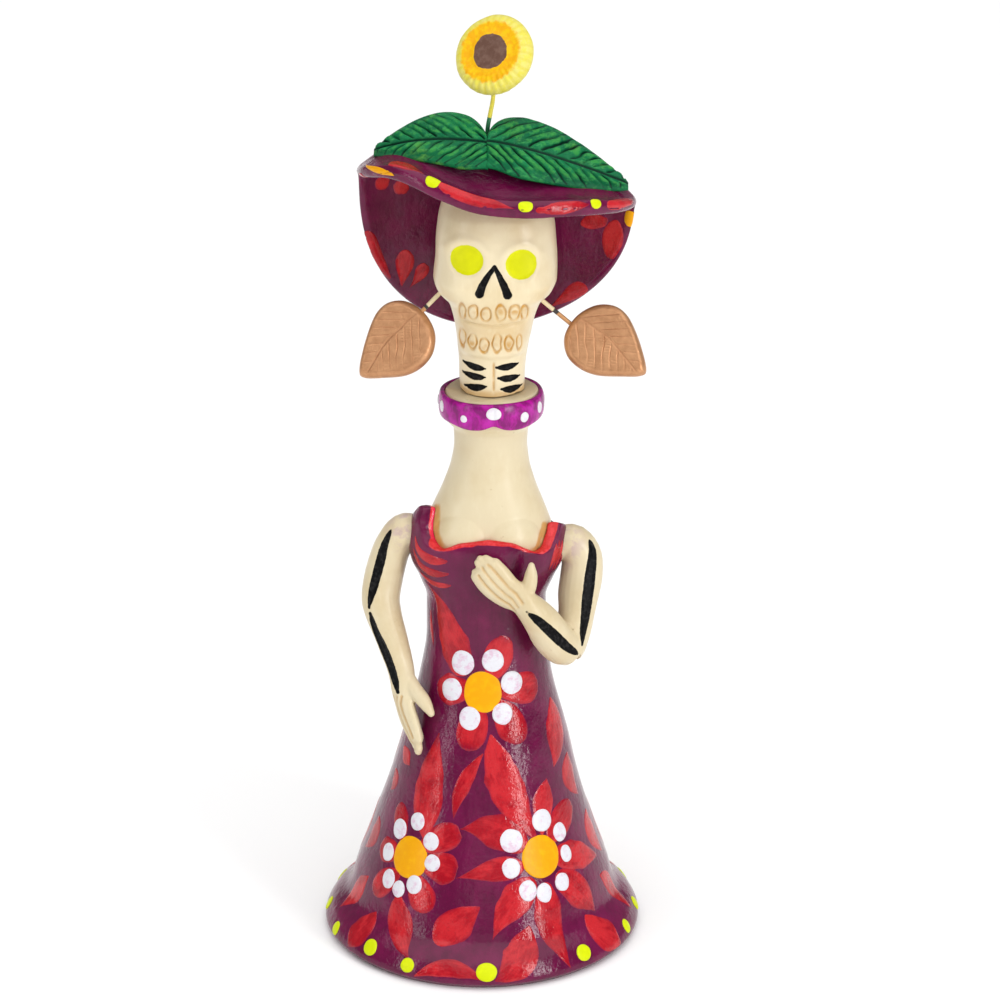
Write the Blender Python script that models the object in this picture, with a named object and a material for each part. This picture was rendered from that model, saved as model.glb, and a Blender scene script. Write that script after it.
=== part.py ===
"""Hand-built catrina figure: a hollow clay dress, a clay bust that stands in it, arms luted to the
shoulders, and a loose head on a wooden peg that carries a draped hat, clay leaves, a wired flower
and two wired earrings.  Millimetres in the tables below, metres in the scene.  +Z is up, the figure
faces -Y, and the origin is the centre of the skirt's foot."""

import math

import bmesh
import bpy
from mathutils import Matrix, Vector

# ------------------------------------------------------------------ driving dimensions (mm)
GAP = 0.35            # clearance between two pieces that touch
FIT = 0.5             # clearance between the bust and the dress it stands in
WIRE_R = 0.55         # annealed wire, 1.1 mm
WIRE_HOLE_R = 0.98    # hole that the wire's root sits in, wide enough for it to be bent
PEG_R = 3.0           # wooden peg between bust and head
PEG_HOLE_R = 3.3
PEG_BOTTOM, PEG_TOP = 134.0, 167.6
PEG_X, PEG_Y = 2.9, 0.0
SEAT_Z = 152.6        # top of the collar, where the neck stands
NECK_Z = 152.95       # underside of the neck
DRESS_WALL = 3.2
HAT_T = 3.0           # thickness of the hat's slab
LEAF_T = 2.4
PAD_T = 4.6           # thickness of the earring's clay leaf
FLOWER_R = 10.5
FLOWER_T = 6.4

# The bell of the dress: height, half width, half depth.
DRESS = [(0.0, 40.9, 40.9), (2.2, 42.9, 42.9), (6.0, 41.2, 41.2), (11.0, 36.5, 36.5), (18.0, 34.1, 34.1),
         (28.0, 30.5, 30.3), (42.0, 25.9, 25.5), (58.0, 21.6, 21.0), (74.0, 17.6, 16.6), (86.0, 16.0, 14.5),
         (95.0, 16.0, 13.8), (101.0, 18.0, 14.4), (106.0, 20.3, 15.1), (111.0, 21.2, 14.9), (116.0, 20.6, 13.8),
         (121.0, 18.4, 12.8), (126.0, 15.6, 11.4)]
# The bust: height, half width, half depth.
BUST = [(93.0, 12.2, 10.2), (101.0, 14.0, 11.2), (106.0, 15.8, 11.8), (111.0, 17.0, 12.0), (115.0, 16.8, 11.7),
        (118.5, 15.6, 11.2), (121.5, 14.3, 10.9), (127.0, 12.0, 10.5), (132.7, 10.3, 9.9), (138.0, 9.6, 9.6),
        (142.0, 9.8, 9.8), (145.0, 11.9, 11.9), (151.6, 12.1, 12.1), (152.6, 11.4, 11.4)]
LEAN = [(0.0, 0.0), (30.0, 0.3), (60.0, 1.1), (95.0, 1.2), (115.0, 1.8), (152.6, 2.8), (215.0, 4.0)]
# The skull with its neck: height, centre x, half width, front y, back y, squareness.
SKULL = [(NECK_Z, 2.9, 8.4, -8.5, 8.3, 2.0), (156.0, 2.9, 8.5, -8.7, 8.4, 2.0), (161.0, 3.0, 8.7, -9.3, 8.3, 2.0),
         (164.5, 3.1, 9.1, -10.9, 8.4, 2.1), (168.5, 3.3, 9.7, -12.0, 8.9, 2.2), (173.0, 3.4, 10.6, -12.8, 9.7, 2.3),
         (176.8, 3.5, 11.9, -13.3, 10.7, 2.4), (180.0, 3.6, 14.7, -14.2, 12.2, 2.6), (183.5, 3.7, 15.9, -14.8, 13.1, 2.7),
         (189.0, 4.0, 15.6, -15.0, 13.8, 2.7), (195.0, 3.9, 15.2, -14.9, 13.9, 2.6), (200.0, 3.9, 14.5, -14.0, 13.0, 2.4),
         (203.5, 3.8, 13.4, -11.8, 11.6, 2.3), (207.0, 3.6, 11.6, -8.6, 9.4, 2.2), (210.2, 3.4, 8.8, -5.6, 6.4, 2.1),
         (212.4, 3.2, 4.8, -3.0, 3.4, 2.0)]
SKULL_TOP = 213.5
# The hat: a slab 72 mm across, draped over the skull with its ridge from side to side.
HAT_X, HAT_HALF = 4.2, 35.1
HAT_END_Z, HAT_RISE = 206.2, 11.4
HAT_DROP = [(-1.0, 1.0), (-0.77, 3.2), (-0.55, 6.8), (-0.38, 9.0), (-0.1, 10.4), (0.2, 10.4), (0.5, 10.3),
            (0.8, 10.0), (1.0, 8.5)]   # how far the front brim dips, from the right ear to the left ear
HAT_SKEW, HAT_FLARE = 7.5, 1.9   # how far the back brim swings to the figure's right, and its corners out
HAT_FRONT, HAT_BACK, HAT_FALL = 26.6, 19.0, 44.3
HAT_TILT = -0.118     # slope of the ridge, left ear high
# Limbs: centre x, y, z, half width, half thickness, and the roll of the flat hand.
RIGHT_ARM = [(-17.5, 0.5, 112.6, 4.2, 4.2), (-20.4, 0.8, 112.4, 4.7, 4.7), (-22.9, 1.2, 108.9, 4.8, 4.8),
             (-24.6, 1.5, 104.4, 5.0, 5.0), (-26.0, 1.0, 98.6, 5.1, 5.1), (-26.6, -0.6, 94.1, 5.0, 5.0),
             (-25.9, -2.4, 90.6, 4.7, 4.7), (-24.4, -4.8, 86.7, 4.2, 4.2), (-22.9, -7.0, 82.8, 3.9, 3.9),
             (-21.6, -9.0, 79.0, 3.6, 3.3), (-20.8, -9.8, 74.8, 3.3, 3.0), (-20.4, -10.6, 70.7, 3.2, 2.8),
             (-19.8, -11.8, 66.7, 3.5, 2.4), (-18.5, -13.4, 63.2, 3.5, 2.3), (-17.2, -15.2, 60.3, 2.8, 2.1),
             (-16.5, -16.9, 57.2, 1.3, 1.5)]
RIGHT_HAND_NORMAL = (0.86, 0.50, 0.10)
RIGHT_THUMB = [(-19.4, -9.9, 75.0, 1.9, 1.9), (-17.2, -12.3, 72.4, 2.0, 2.0), (-15.0, -14.4, 70.2, 1.8, 1.8),
               (-13.4, -15.9, 67.9, 0.9, 0.9)]
LEFT_ARM = [(20.7, -0.5, 109.6, 4.4, 4.4), (24.1, -0.5, 109.6, 5.1, 5.1), (26.4, -1.2, 106.0, 5.4, 5.3),
            (26.3, -2.6, 101.4, 5.6, 5.2), (25.5, -4.6, 96.6, 5.4, 4.8), (24.9, -7.0, 92.0, 4.8, 4.5),
            (23.9, -9.6, 87.5, 4.6, 4.7), (21.9, -12.0, 85.2, 5.1, 5.2), (18.7, -14.4, 88.7, 5.3, 5.3),
            (16.1, -16.2, 93.5, 5.0, 5.0), (13.5, -17.4, 97.3, 4.6, 4.4), (10.2, -18.2, 101.0, 4.1, 3.4),
            (6.4, -18.2, 103.3, 4.5, 2.6), (3.5, -18.1, 106.2, 4.9, 2.4), (1.1, -18.0, 109.2, 4.6, 2.2),
            (-0.7, -17.8, 111.8, 2.6, 1.8)]
LEFT_HAND_NORMAL = (0.0, 1.0, 0.12)
LEFT_THUMB = [(10.8, -18.2, 101.9, 2.1, 2.1), (12.4, -18.2, 104.6, 2.0, 2.0), (12.9, -18.0, 107.6, 1.7, 1.7),
              (13.0, -17.8, 110.2, 0.8, 0.8)]
# Wires: their straight runs.
STEM = [(1.75, -3.0, 215.4), (1.75, -3.0, 221.5), (2.5, -2.6, 226.0), (3.2, -2.2, 230.0), (3.5, -2.0, 237.0)]
STEM_PIVOT = (1.75, -3.0, 217.0)
FLOWER_C = (3.5, -2.0, 240.7)
FLOWER_TURN, FLOWER_TIP = 27.0, 29.0   # degrees that the flower looks to the figure's right, and up
EAR_R_ROOT, EAR_R_END = (-10.3, -2.0, 178.9), (-15.3, -3.9, 174.3)
EAR_L_ROOT, EAR_L_END = (15.2, -2.0, 177.2), (23.3, -3.9, 170.9)
# The clay leaf of an earring: its centre, its face, and its outline as (away from the head, up).
EAR_R_PAD, EAR_L_PAD = (-21.3, -5.0, 167.2), (31.7, -5.0, 166.8)
EAR_R_FACE, EAR_L_FACE = (-0.26, -0.88, 0.40), (-0.10, -0.91, 0.40)
PAD = [(10.3, -8.0), (8.8, -9.6), (4.0, -9.7), (-2.0, -9.3), (-6.3, -7.4), (-9.3, -4.1), (-10.2, 0.3), (-9.0, 4.2),
       (-6.2, 7.7), (-2.0, 9.9), (2.2, 9.7), (5.2, 7.5), (7.3, 3.6), (9.2, -2.2)]

MM = 0.001


# ------------------------------------------------------------------ curves through the tables
def smooth(table, at, column=1):
    """A monotone cubic through the table's rows, read at one height."""
    xs = [row[0] for row in table]
    ys = [row[column] for row in table]
    if at <= xs[0]:
        return ys[0]
    if at >= xs[-1]:
        return ys[-1]
    n = len(xs)
    h = [xs[i + 1] - xs[i] for i in range(n - 1)]
    d = [(ys[i + 1] - ys[i]) / h[i] for i in range(n - 1)]
    m = [d[0]] + [0.0 if d[i - 1] * d[i] <= 0 else 3 * (h[i - 1] + h[i]) / (
        (2 * h[i] + h[i - 1]) / d[i - 1] + (h[i] + 2 * h[i - 1]) / d[i]) for i in range(1, n - 1)] + [d[-1]]
    i = max(k for k in range(n - 1) if xs[k] <= at)
    t = (at - xs[i]) / h[i]
    return (ys[i] * (1 + 2 * t) * (1 - t) ** 2 + m[i] * h[i] * t * (1 - t) ** 2
            + ys[i + 1] * t * t * (3 - 2 * t) + m[i + 1] * h[i] * t * t * (t - 1))


def oval(z, a, b, count, table=LEAN):
    cx = smooth(table, z)
    return [Vector((cx + a * math.sin(2 * math.pi * k / count), -b * math.cos(2 * math.pi * k / count), z))
            for k in range(count)]


def squared(c, p):
    return math.copysign(abs(c) ** (2.0 / p), c)


def step(t):
    t = max(0.0, min(1.0, t))
    return t * t * (3 - 2 * t)


# ------------------------------------------------------------------ making objects
def material(name, colour, rough, metal=0.0):
    mat = bpy.data.materials.new(name)
    mat.use_nodes = True
    p = mat.node_tree.nodes["Principled BSDF"]
    p.inputs["Base Color"].default_value = (*colour, 1.0)
    p.inputs["Roughness"].default_value = rough
    p.inputs["Metallic"].default_value = metal
    mat.diffuse_color = (*colour, 1.0)
    return mat


def finish(bm, name, mat, parent=None, smooth_angle=40.0):
    bmesh.ops.remove_doubles(bm, verts=bm.verts, dist=1e-4)
    bmesh.ops.recalc_face_normals(bm, faces=bm.faces)
    bmesh.ops.scale(bm, vec=(MM, MM, MM), verts=bm.verts)
    mesh = bpy.data.meshes.new(name)
    bm.to_mesh(mesh)
    bm.free()
    mesh.shade_smooth()
    mesh.set_sharp_from_angle(angle=math.radians(smooth_angle))
    obj = bpy.data.objects.new(name, mesh)
    bpy.context.scene.collection.objects.link(obj)
    if mat:
        mesh.materials.append(mat)
    if parent:
        obj.parent = parent
        obj.matrix_parent_inverse = parent.matrix_world.inverted()
    return obj


def bridge_rows(bm, rows, cap_start=False, cap_end=False, closed=False):
    """Skins a stack of equal rings; the last may join the first, as on a pipe's wall."""
    loops = [[bm.verts.new(p) for p in row] for row in rows]
    n = len(rows[0])
    pairs = list(zip(loops, loops[1:])) + ([(loops[-1], loops[0])] if closed else [])
    for low, high in pairs:
        for k in range(n):
            bm.faces.new((low[k], low[(k + 1) % n], high[(k + 1) % n], high[k]))
    if cap_start:
        bm.faces.new(list(reversed(loops[0])))
    if cap_end:
        bm.faces.new(loops[-1])
    return loops


def slab(bm, top, bottom):
    """Two equal grids of points, one over the other, joined round their edges."""
    grids = [[[bm.verts.new(p) for p in row] for row in grid] for grid in (top, bottom)]
    r, c = len(top), len(top[0])
    for g in grids:
        for i in range(r - 1):
            for j in range(c - 1):
                bm.faces.new((g[i][j], g[i + 1][j], g[i + 1][j + 1], g[i][j + 1]))
    t, b = grids
    rim = [(i, 0) for i in range(r)] + [(r - 1, j) for j in range(1, c)] \
        + [(i, c - 1) for i in range(r - 2, -1, -1)] + [(0, j) for j in range(c - 2, 0, -1)]
    for (i, j), (k, m) in zip(rim, rim[1:] + rim[:1]):
        bm.faces.new((t[i][j], t[k][m], b[k][m], b[i][j]))


def cut(obj, cutter, operation="DIFFERENCE"):
    mod = obj.modifiers.new(operation.lower() + "_" + cutter.name, "BOOLEAN")
    mod.object = cutter
    mod.operation = operation
    cutter.hide_render = True
    cutter.display_type = "WIRE"


def rod(name, start, end, radius, segments=16):
    """A straight cylinder between two points, as a cutter or a peg."""
    start, end = Vector(start), Vector(end)
    bm = bmesh.new()
    bmesh.ops.create_cone(bm, cap_ends=True, segments=segments, radius1=radius, radius2=radius,
                          depth=(end - start).length)
    turn = (end - start).to_track_quat("Z", "Y").to_matrix().to_4x4()
    bmesh.ops.transform(bm, matrix=Matrix.Translation((start + end) / 2) @ turn, verts=bm.verts)
    return finish(bm, name, None)


def wire(name, points, mat, parent):
    """A round wire along a smooth run through its points, with closed ends."""
    pts = [Vector(p) for p in points]
    run = []
    for i in range(len(pts) - 1):
        p0, p1, p2, p3 = pts[max(i - 1, 0)], pts[i], pts[i + 1], pts[min(i + 2, len(pts) - 1)]
        for k in range(3):
            t = k / 3
            run.append(0.5 * ((2 * p1) + (p2 - p0) * t + (2 * p0 - 5 * p1 + 4 * p2 - p3) * t * t
                              + (3 * p1 - p0 - 3 * p2 + p3) * t ** 3))
    run.append(pts[-1])
    data = bpy.data.curves.new(name, "CURVE")
    data.dimensions = "3D"
    data.bevel_depth = WIRE_R * MM
    data.bevel_resolution = 2
    data.use_fill_caps = True
    spline = data.splines.new("POLY")
    spline.points.add(len(run) - 1)
    for point, at in zip(spline.points, run):
        point.co = (*(at * MM), 1.0)
    data.materials.append(mat)
    obj = bpy.data.objects.new(name, data)
    bpy.context.scene.collection.objects.link(obj)
    obj.parent = parent
    obj.matrix_parent_inverse = parent.matrix_world.inverted()
    return obj


def limb(bm, stations, count, normal=None, flat_from=None):
    """Rings along a limb. From flat_from on, the section's thin way follows normal, as a hand's does."""
    pts = [Vector(s[:3]) for s in stations]
    rows = []
    side = None
    for i, s in enumerate(stations):
        ahead = (pts[min(i + 1, len(pts) - 1)] - pts[max(i - 1, 0)]).normalized()
        n = Vector(normal) if normal and flat_from is not None and i >= flat_from else (
            Vector((0, 1, 0)) if side is None else ahead.cross(side).normalized() * -1)
        n = (n - ahead * n.dot(ahead)).normalized()
        wide = ahead.cross(n).normalized()
        if side is not None and wide.dot(side) < 0:
            wide = -wide
        side = wide
        rows.append([pts[i] + wide * s[3] * math.cos(2 * math.pi * k / count)
                     + wide.cross(ahead).normalized() * s[4] * math.sin(2 * math.pi * k / count) for k in range(count)])
    bridge_rows(bm, rows, True, True)


# ------------------------------------------------------------------ the pieces' own shapes
def dress_top(phi):
    """Height of the dress's upper edge, phi 0 at the front and 180 degrees at the back."""
    w = abs((phi + math.pi) % (2 * math.pi) - math.pi) * 180 / math.pi
    rows = [(0, 115.2), (18, 114.4), (40, 112.2), (52, 113.9), (62, 118.4), (71, 121.9), (79, 121.9), (90, 119.0), (104, 116.8),
            (122, 115.9), (142, 115.0), (180, 114.6)]
    s = math.sin(phi)
    return smooth(rows, w) - s ** 4 - 5.2 * max(0.0, s) ** 4


def dress_rows(count, levels_low, levels_high, grow=0.0, closed_top=False):
    """Outer rings of the dress: plain heights up to the waist, then shares of the way to its edge."""
    rows = []
    for z in levels_low:
        rows.append(oval(z, smooth(DRESS, z) + grow, smooth(DRESS, z, 2) + grow, count))
    base = levels_low[-1]
    for share in levels_high:
        row = []
        for k in range(count):
            phi = 2 * math.pi * k / count
            z = base + share * ((125.0 if closed_top else dress_top(phi)) - base)
            a, b = smooth(DRESS, z) + grow, smooth(DRESS, z, 2) + grow
            row.append(Vector((smooth(LEAN, z) + a * math.sin(phi), -b * math.cos(phi), z)))
        rows.append(row)
    return rows


def hat_mid(a, f):
    """The hat's middle surface: a from side to side, f from -1 at the front rim to 1 at the back rim."""
    a = max(-0.9999, min(0.9999, a))
    w2 = 1 - a * a
    w = math.sqrt(w2)
    ridge = HAT_END_Z + HAT_RISE * (1 - abs(a) ** 3.0)
    x = HAT_X + HAT_HALF * a
    if f < 0:
        y = HAT_FRONT * w * f
        z = ridge - smooth(HAT_DROP, a) * w2 * (1 - (1 - abs(f) / 0.78) ** 2)
    else:
        y = HAT_BACK * w2 ** 0.35 * (1 - (1 - f) ** 3.2)
        fall = ridge - (HAT_END_Z - HAT_FALL * w2 ** 0.42)
        z = ridge - fall * f ** 1.5
        x += HAT_FLARE * a ** 3 * f ** 2 - HAT_SKEW * w2 ** 0.77 * f ** 3
    return Vector((x, y, z + HAT_TILT * (x - HAT_X)))


def hat_point(r, phi, side, grow=0.0):
    """A point on the hat's upper (side 1) or under (side -1) face, from its middle (r 0) to its rim (r 1)."""
    def mid(r_, p_):
        a = r_ * math.cos(p_)
        w = math.sqrt(max(1e-6, 1 - a * a))
        return hat_mid(a, max(-1.0, min(1.0, r_ * math.sin(p_) / w)))
    e = 0.012
    a0, b0 = r * math.cos(phi), r * math.sin(phi)

    def at(a_, b_):
        return mid(math.hypot(a_, b_), math.atan2(b_, a_))
    lim = min(1.0, 0.985 / max(r, 1e-6))
    a1, b1 = a0 * lim, b0 * lim
    n = (at(a1 + e, b1) - at(a1 - e, b1)).cross(at(a1, b1 + e) - at(a1, b1 - e)).normalized()
    front = max(0.0, -math.sin(phi)) ** 0.6
    t = HAT_T / 2 + grow + 0.9 * front * step((r - 0.7) / 0.3)
    return mid(r, phi) + n * t * side


def hat_body(grow):
    """The hat's closed surface, grow thicker on each face."""
    n = 36
    bm = bmesh.new()
    rims = []
    for side in (1, -1):
        loops = bridge_rows(bm, [[hat_point(r, 2 * math.pi * k / n, side, grow) for k in range(n)]
                                 for r in (0.16, 0.36, 0.56, 0.74, 0.88, 0.97)])
        pole = bm.verts.new(hat_point(0.0001, 0.0, side, grow))
        for k in range(n):
            bm.faces.new((loops[0][k], loops[0][(k + 1) % n], pole))
        rims.append(loops[-1])
    edge = [bm.verts.new((hat_point(1.0, 2 * math.pi * k / n, 1) + hat_point(1.0, 2 * math.pi * k / n, -1)) / 2)
            for k in range(n)]
    for k in range(n):
        j = (k + 1) % n
        bm.faces.new((rims[0][k], rims[0][j], edge[j], edge[k]))
        bm.faces.new((edge[k], edge[j], rims[1][j], rims[1][k]))
    return bm


def leaf_point(side, p, q):
    """The upper face of a hat leaf: p from its base to its tip, q from the front edge to the back edge."""
    length = 29.2 if side < 0 else 36.2
    x = 1.75 + side * (0.28 + length * p)
    if side < 0:
        y = -9.2 + 6.0 * p ** 2
        z = 220.2 + 1.6 * math.sin(math.pi * p * 0.8) - 4.6 * p ** 2
    else:
        y = -9.2 + 5.2 * p ** 2
        z = 220.6 - 0.6 * math.sin(math.pi * p) - 12.6 * p ** 1.6
    low = 7.0 * (0.80 + 0.20 * step(p / 0.25)) * (1 - p ** 2.2) ** 0.8
    high = (8.4 if side < 0 else 9.4) * math.sin(math.pi * min(1.0, p) ** 0.62) ** 0.75 if 0 < p < 1 else 0.0
    if q < 0:
        y += low * q * 0.75
        z += low * q * (0.85 if side > 0 else 0.85 - 0.4 * p)
    else:
        y += high * q * 0.80
        z += high * q * 0.66
    return Vector((x, y, z))


def wire_end(at, centre, face):
    """The wire's end, moved onto the middle plane of the clay leaf."""
    out = Vector(face).normalized()
    return Vector(at) + out * (Vector(centre) - Vector(at)).dot(out)


def build():
    for obj in list(bpy.data.objects):
        bpy.data.objects.remove(obj)

    cream = material("cream_paint", (0.78, 0.66, 0.45), 0.35)
    purple = material("purple_paint", (0.13, 0.016, 0.075), 0.3)
    magenta = material("magenta_paint", (0.27, 0.008, 0.24), 0.25)
    green = material("green_paint", (0.02, 0.18, 0.07), 0.45)
    yellow = material("yellow_paint", (0.88, 0.62, 0.06), 0.45)
    copper = material("copper_paint", (0.55, 0.27, 0.12), 0.38, 0.55)
    steel = material("annealed_wire", (0.45, 0.42, 0.36), 0.45, 0.8)
    timber = material("peg_wood", (0.55, 0.37, 0.19), 0.6)

    root = bpy.data.objects.new("figure_frame", None)
    turn = bpy.data.objects.new("head_turn_axis", None)
    turn.location = (PEG_X * MM, PEG_Y * MM, SEAT_Z * MM)
    lift = bpy.data.objects.new("head_lift_axis", None)
    lift.location = turn.location
    bend_f = bpy.data.objects.new("flower_bend_axis", None)
    bend_f.location = Vector(STEM_PIVOT) * MM
    bend_r = bpy.data.objects.new("right_earring_bend_axis", None)
    bend_r.location = Vector(EAR_R_ROOT) * MM
    bend_l = bpy.data.objects.new("left_earring_bend_axis", None)
    bend_l.location = Vector(EAR_L_ROOT) * MM
    for empty in (root, turn, lift, bend_f, bend_r, bend_l):
        bpy.context.scene.collection.objects.link(empty)
    bpy.context.view_layer.update()
    for child, parent in ((turn, root), (lift, turn), (bend_f, lift), (bend_r, lift), (bend_l, lift)):
        child.parent = parent
        child.matrix_parent_inverse = parent.matrix_world.inverted()
        bpy.context.view_layer.update()

    # Dress: one clay shell, open underneath, its upper part wrapped round the bust.
    n = 36
    low = [0.0, 2.2, 6.0, 11.0, 18.0, 28.0, 42.0, 58.0, 74.0, 86.0, 94.0]
    outer = dress_rows(n, low, [0.2, 0.4, 0.6, 0.8, 0.95, 1.0])
    for k in range(n):
        outer[-1][k] = outer[-1][k].lerp(Vector((smooth(LEAN, outer[-1][k].z), 0, outer[-1][k].z)), 0.03)
    inner = []
    for share in [1.0, 0.86, 0.7, 0.52, 0.35, 0.17]:
        row = []
        for k in range(n):
            phi = 2 * math.pi * k / n
            z = 94.0 + share * (dress_top(phi) - (0.5 if share == 1.0 else 0.0) - 94.0)
            a, b = smooth(BUST, z) + FIT, smooth(BUST, z, 2) + FIT
            row.append(Vector((smooth(LEAN, z) + a * math.sin(phi), -b * math.cos(phi), z)))
        inner.append(row)
    inner.append(oval(94.0, smooth(BUST, 94.0) + FIT, smooth(BUST, 94.0, 2) + FIT, n))
    for z in [91.0, 74.0, 58.0, 42.0, 28.0, 18.0, 10.0, 4.0, 0.0]:
        grow = {4.0: 0.8, 0.0: 0.6}.get(z, 0.0)
        inner.append(oval(z, smooth(DRESS, z) - DRESS_WALL - grow, smooth(DRESS, z, 2) - DRESS_WALL - grow, n))
    bm = bmesh.new()
    bridge_rows(bm, outer + inner, closed=True)
    finish(bm, "dress", purple, root)

    # Bust: hollow chest and neck, solid from the throat up, with the peg's blind socket.
    n = 36
    levels = [93.0, 101.0, 106.0, 111.0, 115.0, 118.5, 121.5, 127.0, 132.7, 138.0, 142.0, 145.0, 151.6, SEAT_Z]
    rows = [oval(z, smooth(BUST, z), smooth(BUST, z, 2), n) for z in levels]
    inside = [oval(z, smooth(BUST, z) - 3.0, smooth(BUST, z, 2) - 3.0, n) for z in (93.0, 106.0, 115.0, 122.0)]
    inside.append(oval(129.0, 4.0, 4.0, n))
    bm = bmesh.new()
    bridge_rows(bm, list(reversed(inside)) + rows, True, True)
    bust = finish(bm, "bust", cream, root)
    cut(bust, rod("bust_socket_cutter", (PEG_X, PEG_Y, PEG_BOTTOM - 0.3), (PEG_X, PEG_Y, 160.0), PEG_HOLE_R, 20))

    # Choker: a flattened clay coil round the collar, its lower edge in two swags that meet in front.
    n = 32
    profile = [(12.45, 145.6), (13.3, 145.3), (13.75, 147.0), (13.8, 149.4), (13.3, 151.6), (12.5, 152.2)]
    rows = [[] for _ in profile]
    for k in range(n):
        phi = 2 * math.pi * k / n
        front = max(0.0, math.cos(phi - 0.12))
        swag = 1.0 * front ** 40 - 0.25 * front
        for row, (r, z) in zip(rows, profile):
            z += swag if z < 146 else 0.0
            row.append(Vector((smooth(LEAN, 148.0) + r * math.sin(phi), -r * math.cos(phi), z)))
    bm = bmesh.new()
    bridge_rows(bm, rows, closed=True)
    finish(bm, "choker", magenta, root)

    # Arms, cut to sit on the dress.
    keep_out = bmesh.new()
    bridge_rows(keep_out, dress_rows(36, [-1.0] + low[1:], [0.2, 0.4, 0.6, 0.8, 1.0], GAP + 0.1, True), True, True)
    dress_room = finish(keep_out, "dress_room_cutter", None)
    for name, stations, normal, thumb in (("right_arm", RIGHT_ARM, RIGHT_HAND_NORMAL, RIGHT_THUMB),
                                          ("left_arm", LEFT_ARM, LEFT_HAND_NORMAL, LEFT_THUMB)):
        bm = bmesh.new()
        limb(bm, stations, 12, normal, len(stations) - 5)
        arm = finish(bm, name, cream, root)
        bm = bmesh.new()
        limb(bm, thumb, 8)
        cut(arm, finish(bm, name + "_thumb_cutter", None), "UNION")
        cut(arm, dress_room)

    # Peg: a plain dowel with broken edges, loose in the collar and in the neck.
    peg = rod("neck_peg", (PEG_X, PEG_Y, PEG_BOTTOM), (PEG_X, PEG_Y, PEG_TOP), PEG_R, 20)
    peg.data.materials.append(timber)
    peg.parent = turn
    peg.matrix_parent_inverse = turn.matrix_world.inverted()
    bevel = peg.modifiers.new("broken_edges", "BEVEL")
    bevel.width = 0.5 * MM
    bevel.segments = 1
    bevel.limit_method = "ANGLE"

    # Skull with its neck, one solid lump of clay bored for the peg and for the two wires.
    n = 32
    rows = []
    for z, cx, a, front, back, p in SKULL:
        row = []
        for k in range(n):
            phi = 2 * math.pi * k / n
            s, c = squared(math.sin(phi), p), squared(math.cos(phi), p)
            row.append(Vector((cx + a * s, (front if c > 0 else -back) * c, z)))
        rows.append(row)
    bm = bmesh.new()
    loops = bridge_rows(bm, rows, True, False)
    tip = bm.verts.new((3.4, -0.5, SKULL_TOP))
    for k in range(n):
        bm.faces.new((loops[-1][k], loops[-1][(k + 1) % n], tip))
    skull = finish(bm, "skull", cream, lift)
    cut(skull, rod("neck_bore_cutter", (PEG_X, PEG_Y, 140.0), (PEG_X, PEG_Y, PEG_TOP + 0.6), PEG_HOLE_R, 20))
    for tag, root_at, end_at, centre, face in (("right", EAR_R_ROOT, EAR_R_END, EAR_R_PAD, EAR_R_FACE),
                                               ("left", EAR_L_ROOT, EAR_L_END, EAR_L_PAD, EAR_L_FACE)):
        r, e = Vector(root_at), wire_end(end_at, centre, face)
        d = (e - r).normalized()
        cut(skull, rod(tag + "_ear_hole_cutter", r - d * 3.6, r + d * 5.0, WIRE_HOLE_R, 12))

    # Hat: a round slab draped over the skull, front brim forward, back brim hanging behind.
    hat = finish(hat_body(0.0), "hat", purple, lift)
    cut(hat, rod("stem_hole_cutter", (1.75, -3.0, 205.0), (1.75, -3.0, 230.0), WIRE_HOLE_R, 12))
    hat_room = finish(hat_body(GAP + 0.15), "hat_room_cutter", None)

    # Leaves pressed on the front of the ridge.
    for name, side in (("right_hat_leaf", -1), ("left_hat_leaf", 1)):
        ps = [0.0, 0.06, 0.14, 0.26, 0.40, 0.54, 0.68, 0.80, 0.90, 0.97]
        qs = [-1.0, -0.55, 0.0, 0.55, 1.0]
        top, bottom = [], []
        for p in ps:
            top.append([leaf_point(side, p, q) for q in qs])
            bottom.append([leaf_point(side, p, q) - Vector((0, -0.40, 0.92)) * (LEAF_T - 0.8 * abs(q)) for q in qs])
        bm = bmesh.new()
        slab(bm, top, bottom)
        cut(finish(bm, name, green, lift, 60.0), hat_room)

    # Flower: a thick fluted disc on a wire that stands in the hat.
    wire("flower_stem", STEM, steel, bend_f)
    bm = bmesh.new()
    profile = [(0.0, -3.2), (5.6, -3.2), (8.4, -2.7), (9.9, -1.3), (10.4, 0.2), (9.9, 1.8), (8.6, 2.9), (5.6, 3.2),
               (0.0, 3.2)]
    spun = [bm.verts.new((r * FLOWER_R / 10.4, t * FLOWER_T / 6.4, 0.0)) for r, t in profile]
    edges = [bm.edges.new(pair) for pair in zip(spun, spun[1:])]
    bmesh.ops.spin(bm, geom=spun + edges, cent=(0, 0, 0), axis=(0, 1, 0), angle=2 * math.pi, steps=28,
                   use_merge=True)
    bmesh.ops.remove_doubles(bm, verts=bm.verts, dist=1e-3)
    bmesh.ops.transform(bm, matrix=Matrix.Translation(FLOWER_C)
                        @ Matrix.Rotation(-math.radians(FLOWER_TURN), 4, "Z")
                        @ Matrix.Rotation(-math.radians(FLOWER_TIP), 4, "X"), verts=bm.verts)
    flower = finish(bm, "flower_disc", yellow, bend_f)
    a, b = Vector(STEM[-3]), Vector(STEM[-1])
    cut(flower, rod("flower_hole_cutter", Vector(STEM[-2]) + (Vector(STEM[-2]) - b) * 1.2,
                    b + (b - Vector(STEM[-2])).normalized() * 0.5, WIRE_R + 0.32, 12))

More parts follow.
